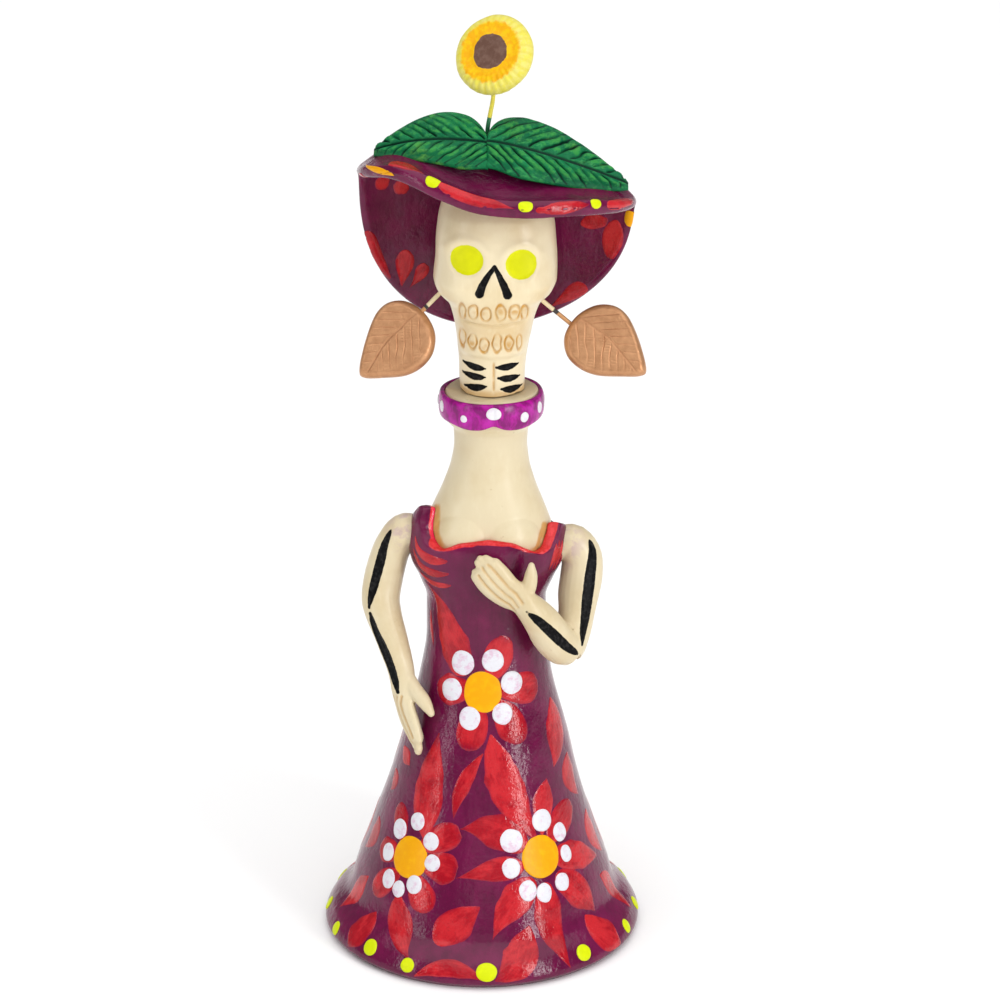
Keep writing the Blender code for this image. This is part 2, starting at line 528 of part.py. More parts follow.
    # Earrings: a clay leaf on a wire from the corner of each cheekbone.
    for tag, root_at, end_at, centre, face, away, parent in (
            ("right", EAR_R_ROOT, EAR_R_END, EAR_R_PAD, EAR_R_FACE, (-0.98, 1.0), bend_r),
            ("left", EAR_L_ROOT, EAR_L_END, EAR_L_PAD, EAR_L_FACE, (1.03, 0.94), bend_l)):
        r, e, c = Vector(root_at), Vector(end_at), Vector(centre)
        out = Vector(face).normalized()
        across = (Vector((1, 0, 0)) - out * out.x).normalized()
        up = (Vector((0, 0, 1)) - out * out.z)
        up = (up - across * up.dot(across)).normalized()
        e = wire_end(end_at, centre, face)
        d = (e - r).normalized()
        wire(tag + "_ear_wire", [r - d * 2.6, r, e, e + d * 3.0], steel, parent)
        rows = []
        for level, shrink in ((-0.5, 0.88), (-0.26, 1.0), (0.26, 1.0), (0.5, 0.88)):
            row = []
            for k in range(2 * len(PAD)):
                p0, p1, p2, p3 = (Vector(PAD[(k // 2 + j) % len(PAD)]) for j in (-1, 0, 1, 2))
                q = p1 if k % 2 == 0 else (p1 + p2) * 0.5625 - (p0 + p3) * 0.0625
                row.append(c + across * q.x * away[0] * shrink + up * q.y * away[1] * shrink + out * PAD_T * level)
            rows.append(row)
        bm = bmesh.new()
        bridge_rows(bm, rows, True, True)
        pad = finish(bm, tag + "_ear_leaf", copper, parent)
        cut(pad, rod(tag + "_pad_hole_cutter", e - d * 3.0, e + d * 3.5, WIRE_R + 0.32, 12))


build()
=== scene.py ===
"""Looks of the hand-built catrina figure: clay pieces at full detail, with brush strokes and dots of
thick paint as thin raised meshes on the same surfaces. Millimetres in the tables and the shape
functions, metres in the scene."""
import math

import bmesh
import bpy
import numpy as np
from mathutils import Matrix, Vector


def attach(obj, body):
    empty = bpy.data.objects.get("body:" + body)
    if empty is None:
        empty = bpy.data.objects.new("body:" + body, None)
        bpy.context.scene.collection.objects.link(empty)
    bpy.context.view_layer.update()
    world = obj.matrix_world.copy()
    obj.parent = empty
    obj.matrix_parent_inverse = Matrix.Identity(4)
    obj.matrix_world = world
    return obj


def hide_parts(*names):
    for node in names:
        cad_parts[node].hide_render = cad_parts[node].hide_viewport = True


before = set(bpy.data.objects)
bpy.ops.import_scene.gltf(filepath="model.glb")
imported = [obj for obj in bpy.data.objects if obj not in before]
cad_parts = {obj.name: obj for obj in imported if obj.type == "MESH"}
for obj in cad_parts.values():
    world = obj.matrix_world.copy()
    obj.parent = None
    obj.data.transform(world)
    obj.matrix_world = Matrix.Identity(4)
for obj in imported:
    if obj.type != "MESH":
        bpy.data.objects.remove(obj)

MM = 0.001

# ------------------------------------------------------------------ the figure's driving dimensions
DRESS = [(0.0, 40.9, 40.9), (2.2, 42.9, 42.9), (6.0, 41.2, 41.2), (11.0, 36.5, 36.5), (18.0, 34.1, 34.1),
         (28.0, 30.5, 30.3), (42.0, 25.9, 25.5), (58.0, 21.6, 21.0), (74.0, 17.6, 16.6), (86.0, 16.0, 14.5),
         (95.0, 16.0, 13.8), (101.0, 18.0, 14.4), (106.0, 20.3, 15.1), (111.0, 21.2, 14.9), (116.0, 20.6, 13.8),
         (121.0, 18.4, 12.8), (126.0, 15.6, 11.4)]
BUST = [(93.0, 12.2, 10.2), (101.0, 14.0, 11.2), (106.0, 15.8, 11.8), (111.0, 17.0, 12.0), (115.0, 16.8, 11.7),
        (118.5, 15.6, 11.2), (121.5, 14.3, 10.9), (127.0, 12.0, 10.5), (132.7, 10.3, 9.9), (138.0, 9.6, 9.6),
        (142.0, 9.8, 9.8), (145.0, 11.9, 11.9), (151.6, 12.1, 12.1), (152.6, 11.4, 11.4)]
LEAN = [(0.0, 0.0), (30.0, 0.3), (60.0, 1.1), (95.0, 1.2), (115.0, 1.8), (152.6, 2.8), (215.0, 4.0)]
SKULL = [(152.95, 2.9, 8.4, -8.5, 8.3, 2.0), (156.0, 2.9, 8.5, -8.7, 8.4, 2.0), (161.0, 3.0, 8.7, -9.3, 8.3, 2.0),
         (164.5, 3.1, 9.1, -10.9, 8.4, 2.1), (168.5, 3.3, 9.7, -12.0, 8.9, 2.2), (173.0, 3.4, 10.6, -12.8, 9.7, 2.3),
         (176.8, 3.5, 11.9, -13.3, 10.7, 2.4), (180.0, 3.6, 14.7, -14.2, 12.2, 2.6), (183.5, 3.7, 15.9, -14.8, 13.1, 2.7),
         (189.0, 4.0, 15.6, -15.0, 13.8, 2.7), (195.0, 3.9, 15.2, -14.9, 13.9, 2.6), (200.0, 3.9, 14.5, -14.0, 13.0, 2.4),
         (203.5, 3.8, 13.4, -11.8, 11.6, 2.3), (207.0, 3.6, 11.6, -8.6, 9.4, 2.2), (210.2, 3.4, 8.8, -5.6, 6.4, 2.1),
         (212.4, 3.2, 4.8, -3.0, 3.4, 2.0), (213.5, 3.4, 0.05, -0.05, 0.05, 2.0)]
PEG_X, PEG_HOLE_R, PEG_BOTTOM, PEG_TOP = 2.9, 3.3, 133.7, 168.2
HAT_X, HAT_HALF, HAT_T = 4.2, 35.1, 3.0
HAT_END_Z, HAT_RISE = 206.2, 11.4
HAT_DROP = [(-1.0, 1.0), (-0.77, 3.2), (-0.55, 6.8), (-0.38, 9.0), (-0.1, 10.4), (0.2, 10.4), (0.5, 10.3),
            (0.8, 10.0), (1.0, 8.5)]
HAT_SKEW, HAT_FLARE, HAT_FRONT, HAT_BACK, HAT_FALL, HAT_TILT = 7.5, 1.9, 26.6, 19.0, 44.3, -0.118
LEAF_T = 2.4
RIGHT_ARM = [(-15.0, 0.5, 111.8, 4.2, 4.2), (-17.5, 0.5, 112.6, 4.4, 4.4), (-20.4, 0.8, 112.4, 4.8, 4.8), (-22.9, 1.2, 108.9, 4.9, 4.9),
             (-24.6, 1.5, 104.4, 5.1, 5.0), (-26.0, 1.0, 98.6, 5.2, 5.1), (-26.6, -0.6, 94.1, 5.1, 5.0),
             (-25.9, -2.4, 90.6, 4.8, 4.7), (-24.4, -4.8, 86.7, 4.3, 4.2), (-22.9, -7.0, 82.8, 4.0, 3.9),
             (-21.6, -9.0, 79.0, 3.7, 3.3), (-20.8, -9.8, 74.8, 3.4, 3.0), (-20.4, -10.6, 70.7, 3.2, 2.8),
             (-19.8, -11.8, 66.7, 3.5, 2.3), (-18.5, -13.4, 63.2, 3.5, 2.1), (-17.2, -15.2, 60.3, 2.8, 1.9),
             (-16.5, -16.9, 57.2, 1.3, 1.4)]
RIGHT_HAND_NORMAL = (0.86, 0.50, 0.10)
RIGHT_THUMB = [(-19.8, -9.6, 76.2, 1.8, 1.8), (-18.6, -10.9, 74.2, 2.0, 2.0), (-17.2, -12.3, 72.4, 2.0, 2.0), (-15.0, -14.4, 70.2, 1.8, 1.8),
               (-13.2, -16.0, 67.7, 1.0, 1.0)]
LEFT_ARM = [(18.0, -0.5, 109.0, 4.3, 4.3), (20.7, -0.5, 109.6, 4.5, 4.5), (24.1, -0.5, 109.6, 5.1, 5.1), (26.4, -1.2, 106.0, 5.4, 5.3),
            (26.3, -2.6, 101.4, 5.6, 5.2), (25.5, -4.6, 96.6, 5.4, 4.8), (24.9, -7.0, 92.0, 4.8, 4.5),
            (23.9, -9.6, 87.5, 4.6, 4.7), (21.9, -12.0, 85.2, 5.1, 5.2), (18.7, -14.4, 88.7, 5.3, 5.2),
            (16.1, -16.2, 93.5, 5.0, 4.8), (13.5, -17.4, 97.3, 4.6, 4.2), (10.2, -18.2, 101.0, 4.1, 3.3),
            (6.4, -18.2, 103.3, 4.5, 2.5), (3.5, -18.1, 106.2, 4.9, 2.2), (1.1, -18.0, 109.2, 4.6, 2.0),
            (-0.7, -17.8, 111.8, 2.6, 1.6)]
LEFT_HAND_NORMAL = (0.0, 1.0, 0.12)
LEFT_THUMB = [(10.4, -18.2, 99.6, 2.0, 2.0), (11.2, -18.3, 102.1, 2.1, 2.1), (12.4, -18.2, 104.6, 2.0, 2.0), (12.9, -18.0, 107.6, 1.7, 1.7),
              (13.0, -17.8, 110.2, 0.9, 0.9)]
STEM = [(1.75, -3.0, 215.4), (1.75, -3.0, 221.5), (2.5, -2.6, 226.0), (3.2, -2.2, 230.0), (3.5, -2.0, 237.0)]
FLOWER_C, FLOWER_R, FLOWER_TURN, FLOWER_TIP = (3.5, -2.0, 240.7), 10.5, 27.0, 29.0
EAR_R_ROOT, EAR_R_END, EAR_R_PAD, EAR_R_FACE = (-10.3, -2.0, 178.9), (-15.3, -3.9, 174.3), (-21.3, -5.0, 167.2), (-0.26, -0.88, 0.40)
EAR_L_ROOT, EAR_L_END, EAR_L_PAD, EAR_L_FACE = (15.2, -2.0, 177.2), (23.3, -3.9, 170.9), (31.7, -5.0, 166.8), (-0.10, -0.91, 0.40)
PAD = [(10.3, -8.0), (8.8, -9.6), (4.0, -9.7), (-2.0, -9.3), (-6.3, -7.4), (-9.3, -4.1), (-10.2, 0.3), (-9.0, 4.2),
       (-6.2, 7.7), (-2.0, 9.9), (2.2, 9.7), (5.2, 7.5), (7.3, 3.6), (9.2, -2.2)]
PAD_T = 4.6


# ------------------------------------------------------------------ maths
def curve(table, at, column=1):
    xs = np.array([r[0] for r in table], float)
    ys = np.array([r[column] for r in table], float)
    h = np.diff(xs)
    d = np.diff(ys) / h
    m = np.empty(len(xs))
    m[0], m[-1] = d[0], d[-1]
    for i in range(1, len(xs) - 1):
        m[i] = 0.0 if d[i - 1] * d[i] <= 0 else 3 * (h[i - 1] + h[i]) / (
            (2 * h[i] + h[i - 1]) / d[i - 1] + (h[i] + 2 * h[i - 1]) / d[i])
    at = np.clip(np.asarray(at, float), xs[0], xs[-1])
    i = np.clip(np.searchsorted(xs, at, side="right") - 1, 0, len(h) - 1)
    t = (at - xs[i]) / h[i]
    return (ys[i] * (1 + 2 * t) * (1 - t) ** 2 + m[i] * h[i] * t * (1 - t) ** 2
            + ys[i + 1] * t * t * (3 - 2 * t) + m[i + 1] * h[i] * t * t * (t - 1))


def noise(p, size, seed=0):
    """Smooth lattice noise from -1 to 1 over points in millimetres."""
    q = np.asarray(p, float) / size + seed * 7.13
    i = np.floor(q)
    f = q - i
    f = f * f * (3 - 2 * f)
    out = 0.0
    for dx in (0, 1):
        for dy in (0, 1):
            for dz in (0, 1):
                s = np.sin((i[..., 0] + dx) * 12.9898 + (i[..., 1] + dy) * 78.233 + (i[..., 2] + dz) * 37.719
                           + seed * 4.7) * 43758.5453
                v = 2 * (s - np.floor(s)) - 1
                out = out + v * ((f[..., 0] if dx else 1 - f[..., 0]) * (f[..., 1] if dy else 1 - f[..., 1])
                                 * (f[..., 2] if dz else 1 - f[..., 2]))
    return out


def stack(*c):
    return np.stack(np.broadcast_arrays(*c), axis=-1).astype(float)


def unit(v):
    return v / np.maximum(np.linalg.norm(v, axis=-1, keepdims=True), 1e-9)


def ramp(x, lo, hi):
    t = np.clip((np.asarray(x, float) - lo) / (hi - lo), 0, 1)
    return t * t * (3 - 2 * t)


def signed_power(c, p):
    return np.sign(c) * np.abs(c) ** (2.0 / p)


def grid_normals(p, wrap=False):
    du = np.gradient(p, axis=0)
    if wrap:
        dv = (np.roll(p, -1, 1) - np.roll(p, 1, 1)) / 2
    else:
        dv = np.gradient(p, axis=1)
    return unit(np.cross(du, dv))


def grid_faces(rows, cols, wrap_cols=False, wrap_rows=False, start=0):
    i = np.arange(rows if wrap_rows else rows - 1)
    j = np.arange(cols if wrap_cols else cols - 1)
    i, j = np.meshgrid(i, j, indexing="ij")
    i2, j2 = (i + 1) % rows, (j + 1) % cols
    return (np.stack([i * cols + j, i2 * cols + j, i2 * cols + j2, i * cols + j2], -1).reshape(-1, 4) + start).tolist()


def to_segments(p, pts):
    """Least distance from each point to a polyline, and how far along it, from 0 to 1."""
    pts = np.asarray(pts, float)
    seg = np.linalg.norm(np.diff(pts, axis=0), axis=1)
    total = max(seg.sum(), 1e-9)
    best = np.full(p.shape[:-1], 1e9)
    along = np.zeros(p.shape[:-1])
    run = 0.0
    for a, b, l in zip(pts, pts[1:], seg):
        t = np.clip(((p - a) @ (b - a)) / max(l * l, 1e-12), 0, 1)
        d = np.linalg.norm(p - (a + t[..., None] * (b - a)), axis=-1)
        closer = d < best
        best = np.where(closer, d, best)
        along = np.where(closer, (run + t * l) / total, along)
        run += l
    return best, along


# ------------------------------------------------------------------ materials
class Nodes:
    def __init__(self, name):
        self.mat = bpy.data.materials.new(name)
        self.mat.use_nodes = True
        self.t = self.mat.node_tree
        self.p = self.t.nodes["Principled BSDF"]
        self.coord = self.t.nodes.new("ShaderNodeTexCoord").outputs["Object"]

    def new(self, kind, **props):
        n = self.t.nodes.new(kind)
        for k, v in props.items():
            setattr(n, k, v)
        return n

    def link(self, a, b):
        self.t.links.new(a, b)

    def put(self, socket, value):
        if isinstance(value, bpy.types.NodeSocket):
            self.link(value, socket)
        elif isinstance(value, (tuple, list)) and len(value) == 3 and socket.type == "RGBA":
            socket.default_value = (*value, 1.0)
        else:
            socket.default_value = value

    def attr(self, name, out="Fac"):
        return self.new("ShaderNodeAttribute", attribute_name=name).outputs[out]

    def noise(self, scale, detail=4.0, rough=0.5, vector=None, distortion=0.0, stretch=None, dims="3D"):
        n = self.new("ShaderNodeTexNoise", noise_dimensions=dims)
        v = vector if vector is not None else self.coord
        if stretch:
            m = self.new("ShaderNodeMapping")
            self.link(v, m.inputs["Vector"])
            m.inputs["Scale"].default_value = stretch
            v = m.outputs["Vector"]
        self.link(v, n.inputs["Vector"])
        n.inputs["Scale"].default_value = scale
        n.inputs["Detail"].default_value = detail
        n.inputs["Roughness"].default_value = rough
        n.inputs["Distortion"].default_value = distortion
        return n.outputs["Fac"]

    def math(self, op, a, b=0.0, c=0.0, clamp=False):
        n = self.new("ShaderNodeMath", operation=op, use_clamp=clamp)
        for s, v in zip(n.inputs, (a, b, c)):
            self.put(s, v)
        return n.outputs[0]

    def between(self, x, lo, hi, smooth=True):
        n = self.new("ShaderNodeMapRange", interpolation_type="SMOOTHSTEP" if smooth else "LINEAR", clamp=True)
        self.put(n.inputs["Value"], x)
        self.put(n.inputs["From Min"], lo)
        self.put(n.inputs["From Max"], hi)
        return n.outputs["Result"]

    def mix(self, fac, a, b, blend="MIX"):
        n = self.new("ShaderNodeMix", data_type="RGBA", blend_type=blend)
        self.put(n.inputs[0], fac)
        self.put(n.inputs[6], a)
        self.put(n.inputs[7], b)
        return n.outputs[2]

    def bump(self, height, distance, normal=None, strength=1.0):
        n = self.new("ShaderNodeBump")
        self.put(n.inputs["Height"], height)
        n.inputs["Distance"].default_value = distance
        n.inputs["Strength"].default_value = strength
        if normal is not None:
            self.link(normal, n.inputs["Normal"])
        return n.outputs["Normal"]

    def finish(self, colour, rough, normal=None, metal=None, coat=None, coat_rough=0.1, spec=0.5):
        self.put(self.p.inputs["Base Color"], colour)
        self.put(self.p.inputs["Roughness"], rough)
        self.put(self.p.inputs["Specular IOR Level"], spec)
        if normal is not None:
            self.link(normal, self.p.inputs["Normal"])
        if metal is not None:
            self.put(self.p.inputs["Metallic"], metal)
        if coat is not None:
            self.put(self.p.inputs["Coat Weight"], coat)
            self.put(self.p.inputs["Coat Roughness"], coat_rough)
            if normal is not None:
                self.link(normal, self.p.inputs["Coat Normal"])
        return self.mat


def varnish_normal(n, fine=0.000085, coarse=0.00010):
    """Sanded clay under brushed varnish: a fine grain over slow waves."""
    waves = n.bump(n.noise(170, 2.0, 0.5), coarse)
    dabs = n.bump(n.noise(520, 2.0, 0.5, stretch=(1.0, 1.0, 0.55)), 0.00013, waves)
    return n.bump(n.noise(1150, 3.0, 0.62), fine, dabs)


PURPLE = (0.105, 0.0020, 0.036)
RED = (0.345, 0.0020, 0.011)


def purple_material(name="plum_varnish", edge=False):
    n = Nodes(name)
    mottle = n.noise(120, 5.0, 0.6)
    streak = n.noise(420, 4.0, 0.6, stretch=(1.0, 1.0, 0.22))
    colour = n.mix(n.between(mottle, 0.35, 0.7), PURPLE, (0.155, 0.004, 0.052))
    colour = n.mix(n.math("MULTIPLY", n.between(streak, 0.45, 0.75), 0.40), colour, (0.060, 0.001, 0.022))
    colour = n.mix(n.math("MULTIPLY", n.between(n.noise(45, 3.0, 0.6), 0.50, 0.72), 0.22), colour, (0.20, 0.014, 0.085))
    if edge:
        wobble = n.noise(260, 3.0, 0.5)
        limit = n.math("ADD", n.attr("band"), n.math("MULTIPLY", n.math("SUBTRACT", wobble, 0.5), 0.9))
        red = n.mix(n.between(n.noise(500, 4.0, 0.6), 0.4, 0.7), (0.60, 0.018, 0.022), (0.78, 0.05, 0.06))
        # painted highlight: hot pink along the inner side of the left strap's red band, for light caught on that edge
        red = n.mix(n.attr("strap_highlight_pink"), red, (0.95, 0.03, 0.13))
        colour = n.mix(n.between(limit, 0.10, -0.10), colour, red)
        colour = n.mix(n.attr("inner"), colour, n.mix(n.noise(220, 4.0, 0.6), (0.36, 0.15, 0.075), (0.50, 0.23, 0.12)))
    rough = n.math("ADD", n.math("MULTIPLY", n.noise(300, 3.0, 0.6), 0.10), 0.055)
    return n.finish(colour, rough, varnish_normal(n), spec=0.32)


def stroke_material(name, deep, light, under=PURPLE):
    """Acrylic brush strokes: a milky coat over a deep one, worn off in places, thin along the edges."""
    n = Nodes(name)
    su = n.attr("brush", "Vector")
    sep = n.new("ShaderNodeSeparateXYZ")
    n.link(n.attr("part", "Vector"), sep.inputs[0])
    along, across, seed = sep.outputs
    streak = n.noise(1.0, 4.0, 0.62, vector=su, stretch=(0.16, 1.7, 1.0))
    blot = n.noise(1.0, 3.0, 0.55, vector=su, stretch=(0.22, 0.30, 1.0), distortion=0.3)
    cover = n.math("ADD", n.math("MULTIPLY", blot, 0.8), n.math("MULTIPLY", streak, 0.2))
    cover = n.math("ADD", cover, n.math("MULTIPLY", n.math("SUBTRACT", seed, 0.5), 0.16))
    cover = n.math("ADD", cover, n.math("MULTIPLY", n.math("SUBTRACT", 0.45, along), 0.14))
    colour = n.mix(n.between(cover, 0.36, 0.62), deep, light)
    colour = n.mix(n.math("MULTIPLY", n.between(streak, 0.50, 0.72), 0.22), colour, tuple(min(1.0, c * 1.2 + 0.012) for c in light))
    speck = n.noise(1800, 2.0, 0.7)
    colour = n.mix(n.math("MULTIPLY", n.between(speck, 0.55, 0.72), 0.28), colour, tuple(c * 0.4 for c in deep))
    thin = n.math("ADD", n.between(across, 0.66, 1.02), n.between(along, 0.80, 1.0))
    colour = n.mix(n.math("MULTIPLY", n.math("MULTIPLY", thin, n.between(streak, 0.30, 0.66)), 0.70, clamp=True), colour, under)
    ridge = n.bump(streak, 0.000025, varnish_normal(n))
    rough = n.math("ADD", n.math("MULTIPLY", n.noise(350, 3.0, 0.6), 0.10), 0.07)
    return n.finish(colour, rough, ridge, spec=0.32)


def paint_material(name, colour_a, colour_b, rough=0.35, coat=0.3, scale=500.0):
    """A blob of thick paint."""
    n = Nodes(name)
    f = n.noise(scale, 4.0, 0.6)
    colour = n.mix(n.between(f, 0.42, 0.72), colour_a, colour_b)
    normal = n.bump(n.noise(700, 3.0, 0.6), 0.00005)
    return n.finish(colour, rough, normal, spec=0.18)


CREAM_A, CREAM_B = (0.775, 0.665, 0.445), (0.70, 0.57, 0.345)


def cream_material(name="cream_varnish", tone=1.0):
    """Cream ground with black, ochre and yellow paint read from the mesh, and handling marks. The ochre also paints
    shade into the finger grooves, the groove down the neck and the seam at its foot; a tone below 1 makes a darker copy
    as painted shade.
    """
    n = Nodes(name)
    slow = n.noise(70, 4.0, 0.55)
    colour = n.mix(n.between(slow, 0.38, 0.70), tuple(c * tone for c in CREAM_A), tuple(c * tone for c in CREAM_B))
    brush = n.noise(800, 3.0, 0.6, stretch=(1.0, 1.0, 0.25))
    colour = n.mix(n.math("MULTIPLY", n.between(brush, 0.5, 0.8), 0.25), colour, tuple(c * tone for c in (0.86, 0.77, 0.55)))
    speck = n.noise(520, 2.0, 0.6)
    colour = n.mix(n.math("MULTIPLY", n.between(speck, 0.74, 0.80), 0.35), colour, (0.42, 0.27, 0.13))
    colour = n.mix(n.math("MULTIPLY", n.attr("ochre"), n.between(n.noise(420, 3.0, 0.6), 0.05, 0.50)), colour,
                   n.mix(n.noise(300, 2.0), (0.46, 0.205, 0.022), (0.60, 0.33, 0.055)))
    stain = n.math("MULTIPLY", n.attr("stain"), n.between(n.noise(240, 4.0, 0.65), 0.42, 0.62))
    colour = n.mix(n.math("MULTIPLY", stain, 0.55), colour, (0.42, 0.25, 0.36))
    rough = n.math("ADD", n.math("MULTIPLY", n.noise(260, 3.0, 0.6), 0.15), 0.23)
    # paint edges
    wob = n.math("MULTIPLY", n.math("SUBTRACT", n.noise(900, 3.0, 0.6), 0.5), 0.35)
    yellow = n.between(n.math("ADD", n.attr("eye"), wob), 0.06, -0.06)
    colour = n.mix(yellow, colour, n.mix(n.between(n.noise(300, 3.0), 0.4, 0.7), (0.63, 0.64, 0.0), (0.69, 0.70, 0.0)))
    black = n.between(n.math("ADD", n.attr("black"), wob), 0.07, -0.07)
    colour = n.mix(black, colour, n.mix(n.between(n.noise(1100, 3.0), 0.45, 0.75), (0.0015, 0.0015, 0.002), (0.020, 0.019, 0.019)))
    normal = n.bump(n.noise(1200, 3.0, 0.6), 0.000016, n.bump(n.noise(190, 2.0, 0.5), 0.00006))
    rough = n.math("ADD", rough, n.math("MULTIPLY", black, 0.12))
    return n.finish(colour, rough, normal, spec=n.math("SUBTRACT", 0.36, n.math("MULTIPLY", n.math("MAXIMUM", black, n.math("MULTIPLY", yellow, 0.8)), 0.27)))


# ------------------------------------------------------------------ objects
def obj_from(name, verts, faces, mat, body, node=(), attrs=None, outward=True, vectors=None):
    me = bpy.data.meshes.new(name)
    me.from_pydata((np.asarray(verts) * MM).tolist(), [], faces)
    for key, value in (attrs or {}).items():
        a = me.attributes.new(key, "FLOAT", "POINT")
        a.data.foreach_set("value", np.ascontiguousarray(np.asarray(value, np.float32).ravel()))
    for key, value in (vectors or {}).items():
        a = me.attributes.new(key, "FLOAT_VECTOR", "POINT")
        a.data.foreach_set("vector", np.ascontiguousarray(np.asarray(value, np.float32).ravel()))
    if outward:
        bm = bmesh.new()
        bm.from_mesh(me)
        bmesh.ops.recalc_face_normals(bm, faces=bm.faces)
        bm.to_mesh(me)
        bm.free()
    me.shade_smooth()
    me.materials.append(mat)
    ob = bpy.data.objects.new(name, me)
    bpy.context.scene.collection.objects.link(ob)
    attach(ob, body)
    if node:
        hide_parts(*([node] if isinstance(node, str) else node))
    return ob


class Paint:
    """Gathers many small patches of one colour into one mesh."""

    def __init__(self):
        self.v, self.f, self.b, self.p, self.n = [], [], [], [], 0
        self.seed = 0

    def add(self, verts, faces, brush, part):
        self.v.append(verts.reshape(-1, 3))
        self.f += [[i + self.n for i in f] for f in faces]
        self.b.append(brush.reshape(-1, 3))
        self.p.append(part.reshape(-1, 3))
        self.n += len(self.v[-1])

    def build(self, name, mat, body):
        if self.v:
            return obj_from(name, np.concatenate(self.v), self.f, mat, body, outward=False,
                            vectors={"brush": np.concatenate(self.b), "part": np.concatenate(self.p)})


def metric(surf, a, b, ea, eb):
    pa = (surf(a + ea, b) - surf(a - ea, b)) / (2 * ea)
    pb = (surf(a, b + eb) - surf(a, b - eb)) / (2 * eb)
    return pa, pb


def onto(surf, steps, A, B, Q, rounds=7):
    """Surface parameters of the points nearest to Q, from a first guess; the nearest try is kept."""
    best = np.full(np.shape(A), np.inf)
    keepA, keepB = A, B
    for turn in range(rounds + 1):
        r = Q - surf(A, B)
        d = np.linalg.norm(r, axis=-1)
        better = d < best
        best, keepA, keepB = np.where(better, d, best), np.where(better, A, keepA), np.where(better, B, keepB)
        if turn == rounds:
            break
        pa, pb = metric(surf, A, B, *steps)
        gaa, gab, gbb = (pa * pa).sum(-1), (pa * pb).sum(-1), (pb * pb).sum(-1)
        det = np.maximum(gaa * gbb - gab ** 2, 1e-9)
        ra, rb = (r * pa).sum(-1), (r * pb).sum(-1)
        dA, dB = (ra * gbb - rb * gab) / det, (rb * gaa - ra * gab) / det
        far = np.sqrt(dA ** 2 * gaa + dB ** 2 * gbb) / 0.9
        A, B = A + dA / np.maximum(far, 1.0), B + dB / np.maximum(far, 1.0)
    return keepA, keepB


def settle(X, wrap=False, reach=2):
    """The middle value of each row and its neighbours, which drops stray points."""
    Y = np.pad(X, [(reach, reach), (0, 0)], mode="wrap" if wrap else "edge")
    return np.median(np.stack([Y[k:k + len(X)] for k in range(2 * reach + 1)]), axis=0)


ENDS = {"leaf": (1.0, 1.15), "petal": (0.55, 0.50), "tear": (0.50, 1.35), "drop": (0.50, 0.95), "comma": (0.9, 0.6)}


def stroke(paint, surf, steps, p0, pm, p2, w, at, kind, lift=0.05, thick=0.10, nu=30, nv=11, flip=1.0, wobble=0.10, calm=0):
    """One brush stroke: a bent centre line through three surface points, w its greatest half width."""
    paint.seed += 1
    p0, pm, p2 = (np.asarray(p, float) for p in (p0, pm, p2))
    c = 2 * pm - 0.5 * (p0 + p2)
    u = np.linspace(0.0, 1.0, nu)[:, None]
    line = (1 - u) ** 2 * p0 + 2 * u * (1 - u) * c + u * u * p2
    tang = 2 * (1 - u) * (c - p0) + 2 * u * (p2 - c)
    a, b = line[:, 0], line[:, 1]
    pa, pb = metric(surf, a, b, *steps)
    nrm = unit(np.cross(pa, pb)) * flip
    t3 = pa * tang[:, :1] + pb * tang[:, 1:]
    length = np.concatenate([[0], np.cumsum(np.linalg.norm(t3[:-1], axis=1) / (nu - 1))])
    side = unit(np.cross(nrm, t3))
    e0, e1 = ENDS[kind]
    uu = u[:, 0]
    prof = np.where(uu < at, np.sin(np.pi / 2 * uu / at) ** e0, np.cos(np.pi / 2 * (uu - at) / (1 - at)) ** e1)
    prof = np.maximum(prof, 0.012) * w
    v = np.linspace(-1, 1, nv)
    ragged = [1 + wobble * noise(stack(length * 0.9, s * 5.0 + 0 * length, paint.seed * 3.0 + 0 * length), 2.2, 9)
              for s in (-1, 1)]
    half = prof[:, None] * np.where(v[None, :] < 0, ragged[0][:, None], ragged[1][:, None])
    off = half * v[None, :]
    A, B = a[:, None] + 0 * off, b[:, None] + 0 * off
    flat = surf(a, b)[:, None, :] + side[:, None, :] * off[..., None]
    A, B = onto(surf, steps, A, B, flat)
    if calm:
        A, B = settle(A, reach=calm), settle(B, reach=calm)
    P = surf(A, B)
    qa, qb = metric(surf, A, B, *steps)
    N = unit(np.cross(qa, qb)) * flip
    body = np.minimum(1.0, np.minimum(prof / (0.25 * w), 1.0))[:, None]
    h = np.where(np.abs(v)[None, :] > 0.999, -0.06, lift + thick * (1 - np.abs(v)[None, :] ** 3) * body)
    h[0, :] = h[-1, :] = -0.06
    P = P + N * h[..., None]
    faces = grid_faces(nu, nv)
    nn = grid_normals(P)
    if (nn * N).sum(-1).mean() < 0:
        faces = [f[::-1] for f in faces]
    brush = stack(length[:, None] + 0 * off, off, paint.seed * 5.7 + 0 * off)
    paint.add(P, faces, brush, stack(u + 0 * off, np.abs(v)[None, :] + 0 * off, (paint.seed * 0.618) % 1.0 + 0 * off))


